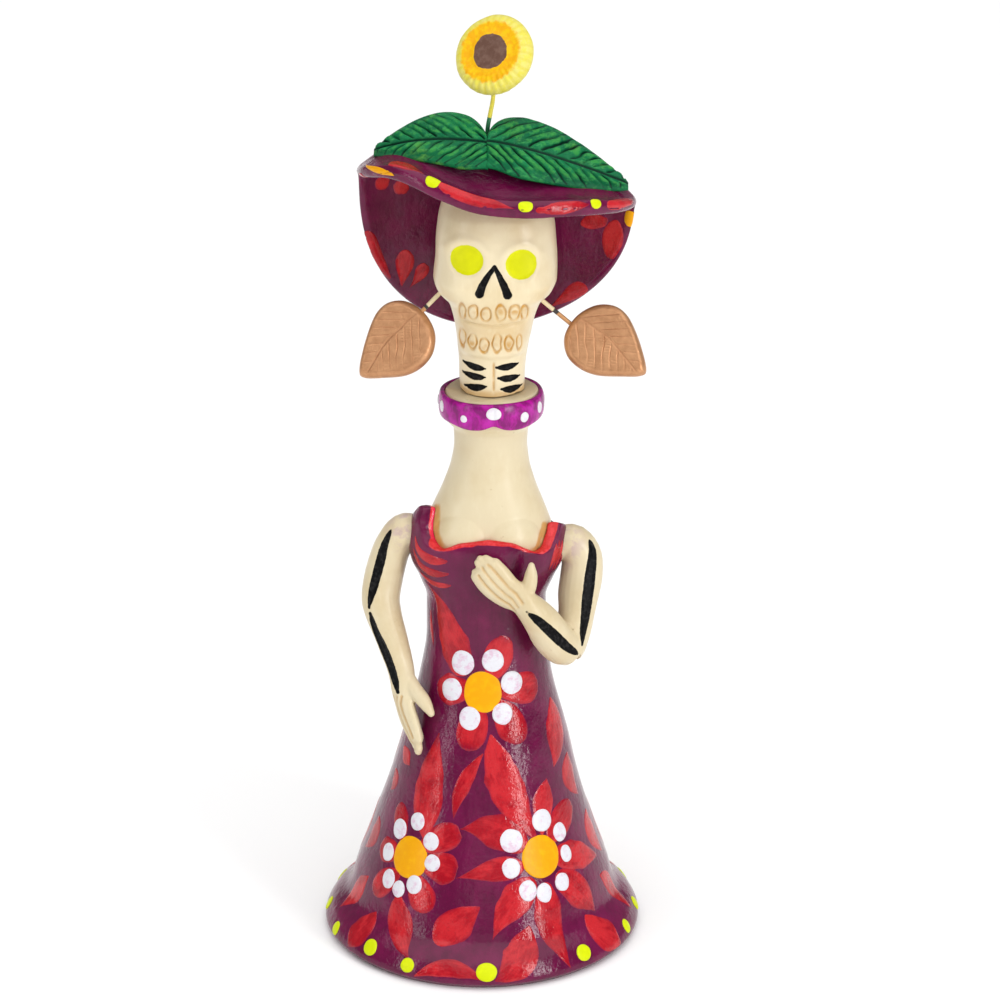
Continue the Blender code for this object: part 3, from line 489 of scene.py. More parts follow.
def dot(paint, surf, steps, at, ra, rb, height=0.35, lift=0.04, flip=1.0, ring=30, turn=0.0, wobble=0.05, calm=0):
    """A touch of thick paint: an oval dome, ra along the surface's first way and rb along its second."""
    paint.seed += 1
    a0, b0 = at
    pa, pb = metric(surf, np.array([a0]), np.array([b0]), *steps)
    la, lb = np.linalg.norm(pa[0]), np.linalg.norm(pb[0])
    rho = np.array([0.02, 0.25, 0.5, 0.7, 0.84, 0.94, 1.0, 1.03])
    th = 2 * np.pi * np.arange(ring) / ring
    k = 1 + wobble * noise(stack(np.cos(th) * 2, np.sin(th) * 2, paint.seed * 1.3 + 0 * th), 1.3, 4)
    X = rho[:, None] * (k * np.cos(th))[None, :] * ra
    Y = rho[:, None] * (k * np.sin(th))[None, :] * rb
    ct, st = math.cos(turn), math.sin(turn)
    A, B = a0 + 0 * X, b0 + 0 * X
    ta = pa[0] / la
    tb = pb[0] - ta * np.dot(pb[0], ta)
    tb = tb / np.linalg.norm(tb)
    flat = surf(np.array([a0]), np.array([b0]))[0] + (X * ct - Y * st)[..., None] * ta + (X * st + Y * ct)[..., None] * tb
    A, B = onto(surf, steps, A, B, flat)
    if calm:
        A, B = settle(A.T, True, calm).T, settle(B.T, True, calm).T
    P = surf(A, B)
    qa, qb = metric(surf, A, B, *steps)
    N = unit(np.cross(qa, qb)) * flip
    h = lift + height * np.sqrt(np.clip(1 - rho ** 2.6, 0, 1))
    h[-1] = -0.08
    P = P + N * h[:, None, None]
    rows, cols = P.shape[:2]
    faces = grid_faces(rows, cols, wrap_cols=True)
    nn = grid_normals(P, True)
    flipit = (nn * N).sum(-1).mean() < 0
    verts = np.concatenate([P.reshape(-1, 3), P[0].mean(0)[None]])
    first = faces[0]
    way = 1 if first.index(1) == (first.index(0) + 1) % 4 else -1
    faces += [[rows * cols, (j + 1) % cols, j][::way] for j in range(cols)]
    if flipit:
        faces = [f[::-1] for f in faces]
    brush = np.concatenate([stack(X, Y, paint.seed * 5.7 + 0 * X).reshape(-1, 3), [[0, 0, paint.seed * 5.7]]])
    part = np.concatenate([stack(0 * X, rho[:, None] + 0 * X, (paint.seed * 0.618) % 1.0 + 0 * X).reshape(-1, 3), [[0, 0, 0]]])
    paint.add(verts, faces, brush, part)


# ------------------------------------------------------------------ dress
def dress_top(phi):
    w = np.degrees(np.abs((phi + np.pi) % (2 * np.pi) - np.pi))
    rows = [(0, 115.2), (18, 114.4), (40, 112.2), (52, 113.9), (62, 118.4), (71, 121.9), (79, 121.9), (90, 119.0), (104, 116.8),
            (122, 115.9), (142, 115.0), (180, 114.6)]
    s = np.sin(phi)
    return curve(rows, w) - s ** 4 - 5.2 * np.maximum(0.0, s) ** 4


def dress_surf(phi, z):
    a, b, cx = curve(DRESS, z, 1), curve(DRESS, z, 2), curve(LEAN, z)
    q = stack(a * np.sin(phi), -b * np.cos(phi), z)
    wob = 0.16 * (noise(q, 15.0, 3) - 1.0) + 0.05 * (noise(q, 4.0, 5) - 1.0)
    wob = wob * ramp(z, -1.0, 3.0)
    return stack(cx + (a + wob) * np.sin(phi), -(b + wob) * np.cos(phi), z)


DRESS_STEPS = (2e-3, 0.05)


def build_dress():
    n = 420
    phi = 2 * np.pi * np.arange(n) / n
    low = np.concatenate([np.linspace(0, 6, 22), np.linspace(6, 30, 34)[1:], np.linspace(30, 96, 70)[1:]])
    rows = [dress_surf(phi, z + 0 * phi) for z in low]
    top = dress_top(phi)
    for s in np.linspace(0, 1, 52)[1:]:
        z = 96 + s * (top - 0.55 - 96)
        p = dress_surf(phi, z)
        rows.append(p)
    # the rounded upper edge, then the inner face down
    inner = []
    for s in np.linspace(1, 0, 18):
        z = 96 + s * (top - 0.55 - 96)
        inner.append(stack(curve(LEAN, z) + (curve(BUST, z) + 0.12) * np.sin(phi), -(curve(BUST, z, 2) + 0.12) * np.cos(phi), z))
    edge = []
    o, i = rows[-1], inner[0]
    for t in (20, 50, 90, 130, 160):
        c, s = math.cos(math.radians(t)), math.sin(math.radians(t))
        p = (o + i) / 2 + (o - i) / 2 * c
        p = p.copy()
        p[:, 2] += 0.62 * s + 0.12 * noise(p, 3.0, 8)
        edge.append(p)
    deep = []
    for z in [91, 82, 74, 66, 58, 50, 42, 35, 28, 22, 16, 10, 5, 2.0, 0.6, 0.0]:
        g = 3.2 + (0.8 if z == 2.0 else 0.6 if z < 1 else 0.8 if z == 5 else 0)
        zz = z + 0 * phi
        p = stack(curve(LEAN, zz) + (curve(DRESS, zz) - g) * np.sin(phi), -(curve(DRESS, zz, 2) - g) * np.cos(phi), zz)
        deep.append(p)
    P = np.stack(rows + edge + inner + deep)
    R, C = P.shape[:2]
    faces = grid_faces(R, C, wrap_cols=True, wrap_rows=True)
    # distance to the upper edge, for the painted band, and the unpainted inside
    path = np.stack([edge[2][k] for k in range(0, n, 3)] + [edge[2][0]])
    band = np.full((R, C), 9.0)
    first = len(low) + 10
    last = len(rows) + len(edge) + 3
    lip = np.stack([inner[0][k] for k in range(0, n, 3)] + [inner[0][0]])
    dist, _ = to_segments(P[first:last], path)
    near, _ = to_segments(P[first:last], lip)
    w = np.degrees((phi + np.pi) % (2 * np.pi) - np.pi)
    strap = (ramp(np.abs(w), 46, 56) * (1 - 0 * w))[None, :]
    dist = dist * (1 - strap) + near * strap
    width = 1.45 * (1 - strap[0]) + np.where(w < 0, 1.25, 2.8) * strap[0]
    width = np.where(np.abs(w) > 88, -1.0, width)
    band[first:last] = dist - width[None, :]
    inner_mask = np.zeros((R, C))
    inner_mask[len(rows) + len(edge) + 3:] = 1.0
    # painted highlight: hot pink on the left strap's inner edge, fading away from the lip
    strap_highlight_pink = np.zeros((R, C))
    strap_highlight_pink[first:last] = (ramp(-w, 38, 46) * (1 - ramp(-w, 78, 88)))[None, :] * (1 - ramp(near, 0.3, 0.8))
    strap_highlight_pink[len(rows) - 2:last] *= 1.0
    obj_from("dress_clay", P.reshape(-1, 3), faces, purple_material("plum_varnish_dress", True), "figure", "dress",
             attrs={"band": band, "inner": inner_mask, "strap_highlight_pink": strap_highlight_pink})


# Brush strokes on the dress, each as start, middle and end (degrees from the front, height), then its
# greatest half width, where along it that lies, and the kind of its ends.
DRESS_LEAVES = [
    ((-33, 34), (-37.5, 47.5), (-36.8, 62.5), 5.4, .40, "leaf"), ((-1, 58.5), (-14, 50), (-17.6, 40.8), 2.3, .50, "leaf"),
    ((3.6, 63.5), (14.6, 48.8), (32.2, 33.5), 5.5, .45, "leaf"), ((67, 68.6), (63.8, 60), (51, 51.0), 5.0, .50, "leaf"),
    ((73, 52.5), (68.5, 46.5), (76, 39.5), 4.3, .45, "leaf"), ((82, 34.5), (77, 29), (85, 21), 4.1, .50, "leaf"),
    ((69, 18.4), (78, 12.8), (80, 5.5), 3.6, .45, "leaf"), ((50, 12.2), (54.5, 6.8), (61, 2.2), 5.4, .55, "leaf"),
    ((21, 14.2), (14.5, 7.2), (4.4, 2.6), 5.3, .50, "leaf"), ((-25, 2.0), (-12, 5.4), (2.3, 2.4), 2.7, .50, "leaf"),
    ((-19.0, 9.6), (-11.3, 15), (-0.6, 19.8), 5.0, .42, "drop"), ((-41, 20), (-37, 12), (-27.6, 5.8), 4.4, .42, "leaf"),
    ((-52.0, 12.6), (-54.6, 7.5), (-57, 2.6), 4.6, .58, "leaf"), ((-65.0, 19.2), (-72.0, 13.2), (-76, 7.4), 3.7, .50, "leaf"),
    ((-79, 33), (-75.5, 28.8), (-82.5, 22.8), 3.6, .50, "leaf"), ((-74, 54), (-66, 52.2), (-58.5, 50.7), 2.4, .50, "leaf"),
    ((-79, 46.8), (-72.6, 44.5), (-75, 41), 2.4, .50, "leaf"), ((-67.4, 93), (-65.3, 87.6), (-59.4, 83), 0.9, .50, "leaf"),
    ((-65.6, 114), (-53.3, 109.5), (-29, 109.4), 1.45, .66, "comma"), ((-66.7, 110.5), (-55, 105.6), (-28.7, 106), 1.35, .66, "comma"),
    ((-67.4, 104), (-50.2, 101.8), (-29.4, 102.6), 1.0, .66, "comma"), ((58.6, 112.4), (57.2, 109), (54, 105), 0.95, .4, "leaf"),
    ((63.2, 113), (61.6, 108.8), (59, 104.6), 0.95, .4, "leaf"), ((68, 112.6), (66.6, 108.2), (64, 104.2), 0.85, .4, "leaf"),
    ((73.4, 111.6), (73.4, 107.8), (71.6, 105.0), 0.6, .5, "leaf")]
DRESS_PETALS = [
    ((-20, 77.5), (-37, 89), (-60.6, 101.5), 4.9, .30, "tear"), ((5, 77.0), (12.2, 83), (18.7, 88.8), 4.2, .55, "petal"),
    ((9, 74.4), (33, 73.9), (52, 73.3), 4.8, .62, "petal"), ((7, 72), (19, 66), (27.6, 60), 4.5, .62, "petal"),
    ((-6, 72), (-10.3, 65), (-12.8, 58.6), 4.7, .62, "petal"), ((-10, 74.2), (-29, 73.8), (-47, 72.9), 4.4, .60, "petal"),
    ((-47, 32), (-52.8, 36.5), (-57.5, 41), 3.2, .60, "petal"), ((-35, 32.2), (-23.6, 35.6), (-12.2, 38.2), 4.2, .64, "petal"),
    ((-33, 29.0), (-21.6, 28.4), (-12.4, 27.6), 4.7, .64, "petal"), ((-36, 25.5), (-29.6, 21), (-25.6, 16.6), 4.2, .62, "petal"),
    ((-43.5, 25), (-52, 20.5), (-58.6, 16.6), 3.9, .60, "petal"), ((-47, 29), (-56, 28.2), (-64, 27.2), 3.6, .58, "petal"),
    ((34.0, 35), (38.6, 43.4), (43.6, 49.4), 3.7, .50, "leaf"), ((38, 33), (49, 37.2), (63, 40.0), 4.3, .60, "petal"),
    ((38, 29.8), (55, 27), (73.8, 23), 4.3, .45, "drop"), ((38, 24.8), (49, 19), (57.2, 11.4), 4.9, .50, "drop"),
    ((32, 24.0), (30.6, 12.6), (33.8, 2.4), 4.4, .36, "tear"), ((27, 24.6), (13.6, 19.8), (4.4, 11.2), 4.7, .38, "tear"),
    ((22, 28.8), (5.4, 28.6), (-13.6, 26.3), 3.5, .36, "tear"), ((24, 32.8), (6.6, 38.4), (-13.8, 38.6), 5.2, .42, "tear")]
# Dots of white round each flower: degrees, height, half width, half height.
DRESS_WHITE = [(-22, 81.3, 3.2, 3.3), (6.8, 82.2, 2.9, 3.05), (23.7, 75.9, 3.0, 3.05), (13.7, 68.2, 2.7, 2.9),
               (-12.7, 67, 2.8, 3.15), (-30.6, 73.7, 2.95, 3.05), (-40.2, 38.3, 2.3, 2.4), (-51.7, 34.7, 2.6, 2.65),
               (-55.5, 27.8, 2.35, 2.4), (-49.7, 21.8, 2.3, 2.6), (-42.1, 20.5, 2.0, 2.25), (-33.9, 22.9, 2.4, 2.5),
               (-26.2, 29.2, 2.3, 2.25), (-28.9, 34.4, 2.35, 2.4), (35.5, 39.1, 3.0, 3.0), (46.5, 34.6, 2.35, 2.6),
               (47.6, 28.8, 2.0, 2.4), (41.1, 22.5, 2.3, 2.5), (30.1, 21.3, 2.25, 2.6), (22, 22.7, 2.45, 2.75),
               (14.6, 28.8, 2.45, 2.65), (15.8, 35.6, 3.1, 3.15)]
DRESS_YELLOW = [(-2.6, 74.0, 5.2, 5.4), (-40.0, 29.0, 5.7, 5.5), (31.6, 30.3, 5.6, 5.6)]
DRESS_NEON = [(-68.9, 4.0, 1.7, 2.0), (-45.7, 5.5, 2.2, 2.25), (-27.9, 4.5, 1.9, 1.95), (1.8, 4.9, 2.75, 2.5),
              (40.8, 5.2, 2.2, 2.25), (68.8, 4.6, 1.6, 2.0), (-88, 4.6, 1.8, 2.0), (88, 4.6, 1.8, 2.0)]


def back_flower(phi, z, r, petals, turn, leaves, dots, yellow, white):
    """A flower like the front's, for the unseen side."""
    yellow.append((phi, z, r, r * 1.0))
    for k in range(petals):
        t = 2 * math.pi * k / petals + turn
        rad = float(curve(DRESS, z))
        ex, ez = math.sin(t), math.cos(t)
        deg = lambda d, at: math.degrees(d / float(curve(DRESS, at)))
        reach = r * (2.9 + 0.3 * math.sin(5 * k + turn))
        pts = []
        for s in (0.75 * r, 0.5 * (0.75 * r + reach), reach):
            zz = z + s * ez * 0.93
            pts.append((phi + deg(s * ex, zz), zz))
        leaves.append((*pts, r * 0.80, .60 if k % 2 else .45, "petal" if k % 2 else "drop"))
        zz = z + 1.42 * r * ez * 0.93
        white.append((phi + deg(1.42 * r * ex, zz), zz, r * 0.50, r * 0.52))


def paint_dress():
    leaves, petals = list(DRESS_LEAVES), list(DRESS_PETALS)
    white, yellow, neon = list(DRESS_WHITE), list(DRESS_YELLOW), list(DRESS_NEON)
    back_flower(180, 72, 5.2, 6, 0.2, petals, None, yellow, white)
    back_flower(140, 30, 5.6, 8, 0.1, petals, None, yellow, white)
    back_flower(-138, 31, 5.6, 8, 0.3, petals, None, yellow, white)
    leaves += [((180, 56), (176, 44), (184, 30), 4.6, .5, "leaf"), ((150, 58), (142, 50), (146, 44), 3.4, .5, "leaf"),
               ((-150, 58), (-142, 51), (-146, 44), 3.4, .5, "leaf"), ((108, 62), (104, 52), (110, 42), 4.2, .5, "leaf"),
               ((-104, 62), (-100, 52), (-106, 42), 4.2, .5, "leaf"), ((104, 34), (98, 26), (106, 16), 3.8, .5, "leaf"),
               ((-100, 34), (-96, 26), (-103, 16), 3.8, .5, "leaf"), ((172, 20), (178, 12), (190, 8), 4.2, .5, "leaf"),
               ((150, 10), (158, 5), (168, 2.6), 3.2, .5, "leaf"), ((-150, 10), (-160, 5), (-170, 2.6), 3.2, .5, "leaf"),
               ((112, 11), (119, 6), (124, 2.6), 3.6, .5, "leaf"), ((-112, 11), (-118, 6), (-126, 2.6), 3.6, .5, "leaf"),
               ((180, 104), (176, 98), (184, 90), 3.4, .5, "leaf"), ((150, 108), (140, 102), (146, 92), 2.6, .5, "leaf"),
               ((-150, 108), (-140, 102), (-146, 92), 2.6, .5, "leaf")]
    neon += [(a, 4.8, 2.1, 2.15) for a in (112, 134, 156, 179, -158, -135, -111)]
    red = Paint()
    for i, (p0, pm, p2, w, at, kind) in enumerate(leaves + petals):
        pts = [(math.radians(p[0]), p[1]) for p in (p0, pm, p2)]
        stroke(red, dress_surf, DRESS_STEPS, *pts, w, at, kind, lift=0.04 if i < len(leaves) else 0.07,
               thick=0.07 if w > 1.5 else 0.10)
    red.build("dress_red_strokes", stroke_material("red_strokes", RED, (0.53, 0.016, 0.024)), "figure")
    p = Paint()
    for a, z, rx, rz in yellow:
        dot(p, dress_surf, DRESS_STEPS, (math.radians(a), z), rx, rz, 0.10, 0.13, ring=48, wobble=0.05)
    p.build("dress_flower_hearts", paint_material("amber_paint", (0.80, 0.35, 0.0), (0.84, 0.41, 0.0), 0.32, 0.4), "figure")
    p = Paint()
    for a, z, rx, rz in white:
        dot(p, dress_surf, DRESS_STEPS, (math.radians(a), z), rx, rz, 0.30, 0.14, wobble=0.06)
    n = Nodes("white_touches")
    su = n.attr("brush", "Vector")
    f = n.noise(1.0, 3.0, 0.6, vector=su, stretch=(0.5, 0.5, 1.0))
    g = n.noise(1.0, 4.0, 0.65, vector=su, stretch=(1.6, 3.2, 1.0))
    colour = n.mix(n.between(f, 0.48, 0.68), (0.70, 0.70, 0.75), (0.66, 0.48, 0.60))
    colour = n.mix(n.math("MULTIPLY", n.between(g, 0.45, 0.7), 0.6), colour, (0.76, 0.76, 0.80))
    p.build("dress_white_touches", n.finish(colour, 0.33, n.bump(g, 0.00008), spec=0.4), "figure")
    p = Paint()
    for a, z, rx, rz in neon:
        dot(p, dress_surf, DRESS_STEPS, (math.radians(a), z), rx, rz, 0.22, 0.12, wobble=0.06)
    p.build("dress_hem_dots", neon_material("neon_hem"), "figure")


def neon_material(name):
    return paint_material(name, (0.60, 0.69, 0.0), (0.66, 0.75, 0.0), 0.40, 0.25)


# ------------------------------------------------------------------ bust
def build_bust():
    n = 260
    phi = 2 * np.pi * np.arange(n) / n
    zs = np.concatenate([np.linspace(93, 108, 20), np.linspace(108, 144, 110)[1:], np.linspace(144, 151.4, 24)[1:]])
    rows = []
    for z in zs:
        zz = z + 0 * phi
        a, b = curve(BUST, zz), curve(BUST, zz, 2)
        x, y = curve(LEAN, zz) + a * np.sin(phi), -b * np.cos(phi)
        front = ramp(-y, 0, 6)
        bulge = 1.5 * front * sum(
            np.clip(1 - ((x - xc) / rx) ** 2 - ((z - zc) / rz) ** 2, 0, 1) ** 0.85
            for xc, zc, rx, rz in ((-5.6, 114.4, 6.6, 6.0), (8.9, 113.8, 6.8, 6.0)))
        q = stack(x, y, zz)
        wob = 0.13 * noise(q, 9.0, 2) + 0.04 * noise(q, 3.0, 6) - 0.1
        rows.append(stack(x + (bulge + wob) * np.sin(phi), y - (bulge + wob) * np.cos(phi), zz))
    cx = float(curve(LEAN, 152.0))
    for r, z in [(12.05, 151.9), (11.8, 152.3), (11.3, 152.5), (10.0, 152.55), (8.0, 152.5), (6.0, 152.5), (4.2, 152.5), (3.5, 152.45),
                 (3.3, 152.2), (3.3, 146.0), (3.3, 140.0), (3.3, 133.7)]:
        k = ramp(r, 3.4, 9.0)
        c = PEG_X * (1 - k) + cx * k
        rr = r * (1 + (0.012 * noise(stack(np.sin(phi) * 12, np.cos(phi) * 12, 0 * phi), 5.0, 4) if r > 8 else 0 * phi))
        zz = z + (0.18 * noise(stack(r * np.sin(phi), r * np.cos(phi), 0 * phi), 3.0, 7) if 4 < r < 11.9 else 0 * phi)
        rows.append(stack(c + rr * np.sin(phi), -rr * np.cos(phi), zz))
    inner = []
    for z, a, b in [(129.0, 3.6, 3.6), (122, 11.0, 7.6), (115, 13.6, 8.4), (104, 12.0, 8.4), (93, 9.2, 7.2)]:
        zz = z + 0 * phi
        inner.append(stack(curve(LEAN, zz) + a * np.sin(phi), -b * np.cos(phi), zz))
    P = np.stack(rows)
    R, C = P.shape[:2]
    verts = P.reshape(-1, 3)
    faces = grid_faces(R, C, wrap_cols=True)
    faces.append([(R - 1) * C + j for j in range(C)])
    I = np.stack(inner)
    start = len(verts)
    verts = np.concatenate([verts, I.reshape(-1, 3)])
    faces += grid_faces(len(inner), C, wrap_cols=True, start=start)
    faces.append([start + j for j in range(C)])
    last = start + (len(inner) - 1) * C
    faces += [[j, (j + 1) % C, last + (j + 1) % C, last + j] for j in range(C)]
    ochre = np.zeros(len(verts))
    edge_z = dress_top(np.arctan2(verts[:, 0] - 1.7, -verts[:, 1]))
    near = verts[:, 2] - edge_z
    w = np.degrees(np.arctan2(verts[:, 0] - 1.7, -verts[:, 1]))
    ragged = 0.9 + 0.8 * noise(verts, 1.6, 31)
    ochre = (1 - ramp(near, 0.1 * ragged, 1.3 * ragged)) * ramp(np.abs(w), 42, 54) * (1 - ramp(np.abs(w), 84, 96)) * 0.8
    zero = np.zeros(len(verts))
    obj_from("bust_clay", verts, faces, CREAM_BODY_SHADED, "figure", "bust",
             attrs={"ochre": ochre, "stain": zero, "black": zero + 9, "eye": zero + 9})


# ------------------------------------------------------------------ choker
def choker_surf(phi, t):
    """t goes round the coil's section, phi round the neck."""
    w = (phi + np.pi) % (2 * np.pi) - np.pi
    d = w - 0.05
    swag = 1.0 * np.exp(-(d / 0.16) ** 2) - 0.55 * np.exp(-((np.abs(d) - 0.55) / 0.33) ** 2)
    half = 3.35 + 0.12 * np.sin(3 * phi + 1)
    bottom = np.where(np.sin(t) < 0, swag * (-np.sin(t)) ** 1.5, 0.0)
    step = 0.35 * (1 / (1 + np.exp(-d / 0.03))) * np.exp(-np.abs(d) / 0.5)
    r = 12.75 + 1.0 * np.sign(np.cos(t)) * np.abs(np.cos(t)) ** 0.7 + step * np.maximum(np.cos(t), 0)
    z = 148.85 + half * np.sign(np.sin(t)) * np.abs(np.sin(t)) ** 0.8 + bottom
    q = stack(r * np.sin(phi), r * np.cos(phi), z)
    r = r + 0.10 * noise(q, 4.5, 3) - 0.05
    notch = 0.45 * np.exp(-(d / 0.05) ** 2) * np.maximum(np.cos(t), 0)
    r = r - notch
    return stack(curve(LEAN, 148.0 + 0 * z) + r * np.sin(phi), -r * np.cos(phi), z)


def build_choker():
    n, m = 360, 44
    phi = (2 * np.pi * np.arange(n) / n)[:, None] + 0 * np.zeros(m)[None, :]
    t = (2 * np.pi * np.arange(m) / m)[None, :] + 0 * phi
    P = choker_surf(phi, t)
    n_ = Nodes("magenta_varnish")
    streak = n_.noise(330, 4.0, 0.65, stretch=(1.0, 1.0, 0.5), distortion=0.8)
    colour = n_.mix(n_.between(streak, 0.40, 0.60), (0.42, 0.004, 0.285), (0.20, 0.003, 0.13))
    colour = n_.mix(n_.math("MULTIPLY", n_.between(n_.noise(210, 3.0), 0.52, 0.75), 0.7), colour, (0.52, 0.02, 0.40))
    mat = n_.finish(colour, 0.24, varnish_normal(n_, 0.00002, 0.00014), spec=0.3)
    obj_from("choker_coil", P.reshape(-1, 3), grid_faces(n, m, True, True), mat, "figure", "choker")
    p = Paint()
    f = lambda a, b: choker_surf(a, b)
    for a, t, ra, rb in [(-68, 0.10, 1.1, 1.5), (-31, -0.15, 0.95, 0.95), (2.5, 0.25, 1.85, 1.6), (38, -0.1, 1.25, 1.35), (64, 0.1, 1.1, 1.5),
                         (100, 0, 1.3, 1.3), (134, 0, 1.3, 1.3), (168, 0, 1.3, 1.3), (-158, 0, 1.3, 1.3), (-126, 0, 1.3, 1.3), (-97, 0, 1.2, 1.3)]:
        dot(p, f, (2e-3, 0.01), (math.radians(a), t), ra, rb, 0.25, 0.10)
    p.build("choker_dots", paint_material("white_dots", (0.76, 0.75, 0.78), (0.70, 0.64, 0.71), 0.35, 0.3), "figure")


# ------------------------------------------------------------------ arms
def spline(stations, sub):
    s = np.asarray(stations, float)
    out = []
    for i in range(len(s) - 1):
        p0, p1, p2, p3 = s[max(i - 1, 0)], s[i], s[i + 1], s[min(i + 2, len(s) - 1)]
        for k in range(sub):
            t = k / sub
            out.append(0.5 * (2 * p1 + (p2 - p0) * t + (2 * p0 - 5 * p1 + 4 * p2 - p3) * t * t + (3 * p1 - p0 - 3 * p2 + p3) * t ** 3))
    out.append(s[-1])
    return np.array(out)


def tube(stations, normal=None, flat_from=None, sub=4, ring=24, round_ends=True):
    """Rings along a limb, with its thin way along normal from flat_from on. Returns rings and frames."""
    s = spline(stations, sub)
    if round_ends:
        ends = []
        for e, n in ((0, 1), (-1, -2)):
            d = unit((s[e, :3] - s[n, :3])[None])[0]
            r = min(s[e, 3], s[e, 4])
            caps = []
            for t in (0.35, 0.65, 0.87, 0.98):
                c = s[e].copy()
                c[:3] += d * r * t
                c[3:] *= math.sqrt(1 - t * t)
                caps.append(c)
            ends.append(caps)
        s = np.array(ends[0][::-1] + list(s) + ends[1])
        pad = 4
    else:
        pad = 0
    pts = s[:, :3]
    ahead = unit(np.gradient(pts, axis=0))
    th = 2 * np.pi * np.arange(ring) / ring
    rings, wides, norms = [], [], []
    side = None
    for i in range(len(s)):
        k = (i - pad) / sub
        base = np.array([0, 1.0, 0]) if side is None else -np.cross(ahead[i], side)
        if normal is not None and flat_from is not None:
            m = float(ramp(k, flat_from - 2, flat_from))
            t = np.asarray(normal, float)
            if np.dot(base, t) < 0:
                base = -base
            base = base * (1 - m) + t * m
        n = base - ahead[i] * np.dot(base, ahead[i])
        n /= np.linalg.norm(n)
        w = np.cross(ahead[i], n)
        if side is not None and np.dot(w, side) < 0:
            w = -w
        side = w
        rings.append(pts[i] + s[i, 3] * np.cos(th)[:, None] * w + s[i, 4] * np.sin(th)[:, None] * n)
        wides.append(w)
        norms.append(n)
    return np.stack(rings), pts, np.array(wides), np.array(norms), s, pad


def remeshed(parts, voxel, rounds):
    """Welds overlapping closed tubes into one skin and smooths it, as thumbed clay."""
    me = bpy.data.meshes.new("weld")
    verts, faces, start = [], [], 0
    for rings in parts:
        R, C = rings.shape[:2]
        verts.append(rings.reshape(-1, 3))
        faces += grid_faces(R, C, wrap_cols=True, start=start)
        faces.append([start + j for j in range(C)][::-1])
        faces.append([start + (R - 1) * C + j for j in range(C)])
        start += R * C
    me.from_pydata((np.concatenate(verts) * MM).tolist(), [], faces)
    ob = bpy.data.objects.new("weld", me)
    bpy.context.scene.collection.objects.link(ob)
    bm = bmesh.new()
    bm.from_mesh(me)
    bmesh.ops.recalc_face_normals(bm, faces=bm.faces)
    bm.to_mesh(me)
    bm.free()
    mod = ob.modifiers.new("weld", "REMESH")
    mod.mode = "VOXEL"
    mod.voxel_size = voxel * MM
    mod.adaptivity = 0.0
    bpy.context.view_layer.update()
    out = bpy.data.meshes.new_from_object(ob.evaluated_get(bpy.context.evaluated_depsgraph_get()))
    v = np.empty(len(out.vertices) * 3)
    out.vertices.foreach_get("co", v)
    v = v.reshape(-1, 3) / MM
    faces = [list(p.vertices) for p in out.polygons]
    e = np.empty(len(out.edges) * 2, int)
    out.edges.foreach_get("vertices", e)
    e = e.reshape(-1, 2)
    bpy.data.objects.remove(ob)
    bpy.data.meshes.remove(me)
    bpy.data.meshes.remove(out)
    i, j = np.concatenate([e[:, 0], e[:, 1]]), np.concatenate([e[:, 1], e[:, 0]])
    count = np.bincount(i, minlength=len(v))[:, None]
    for k in range(rounds):
        mean = np.stack([np.bincount(i, weights=v[j, c], minlength=len(v)) for c in range(3)], 1) / count
        v = v + (mean - v) * (0.55 if k % 2 == 0 or k > rounds - 3 else -0.50)
    return v, faces, e


def vertex_normals(v, faces):
    f = np.asarray([q[:4] if len(q) >= 4 else q + q[-1:] for q in faces])
    fn = np.cross(v[f[:, 2]] - v[f[:, 0]], v[f[:, 3]] - v[f[:, 1]])
    n = np.zeros_like(v)
    for k in range(4):
        for c in range(3):
            n[:, c] += np.bincount(f[:, k], weights=fn[:, c], minlength=len(v))
    return unit(n)


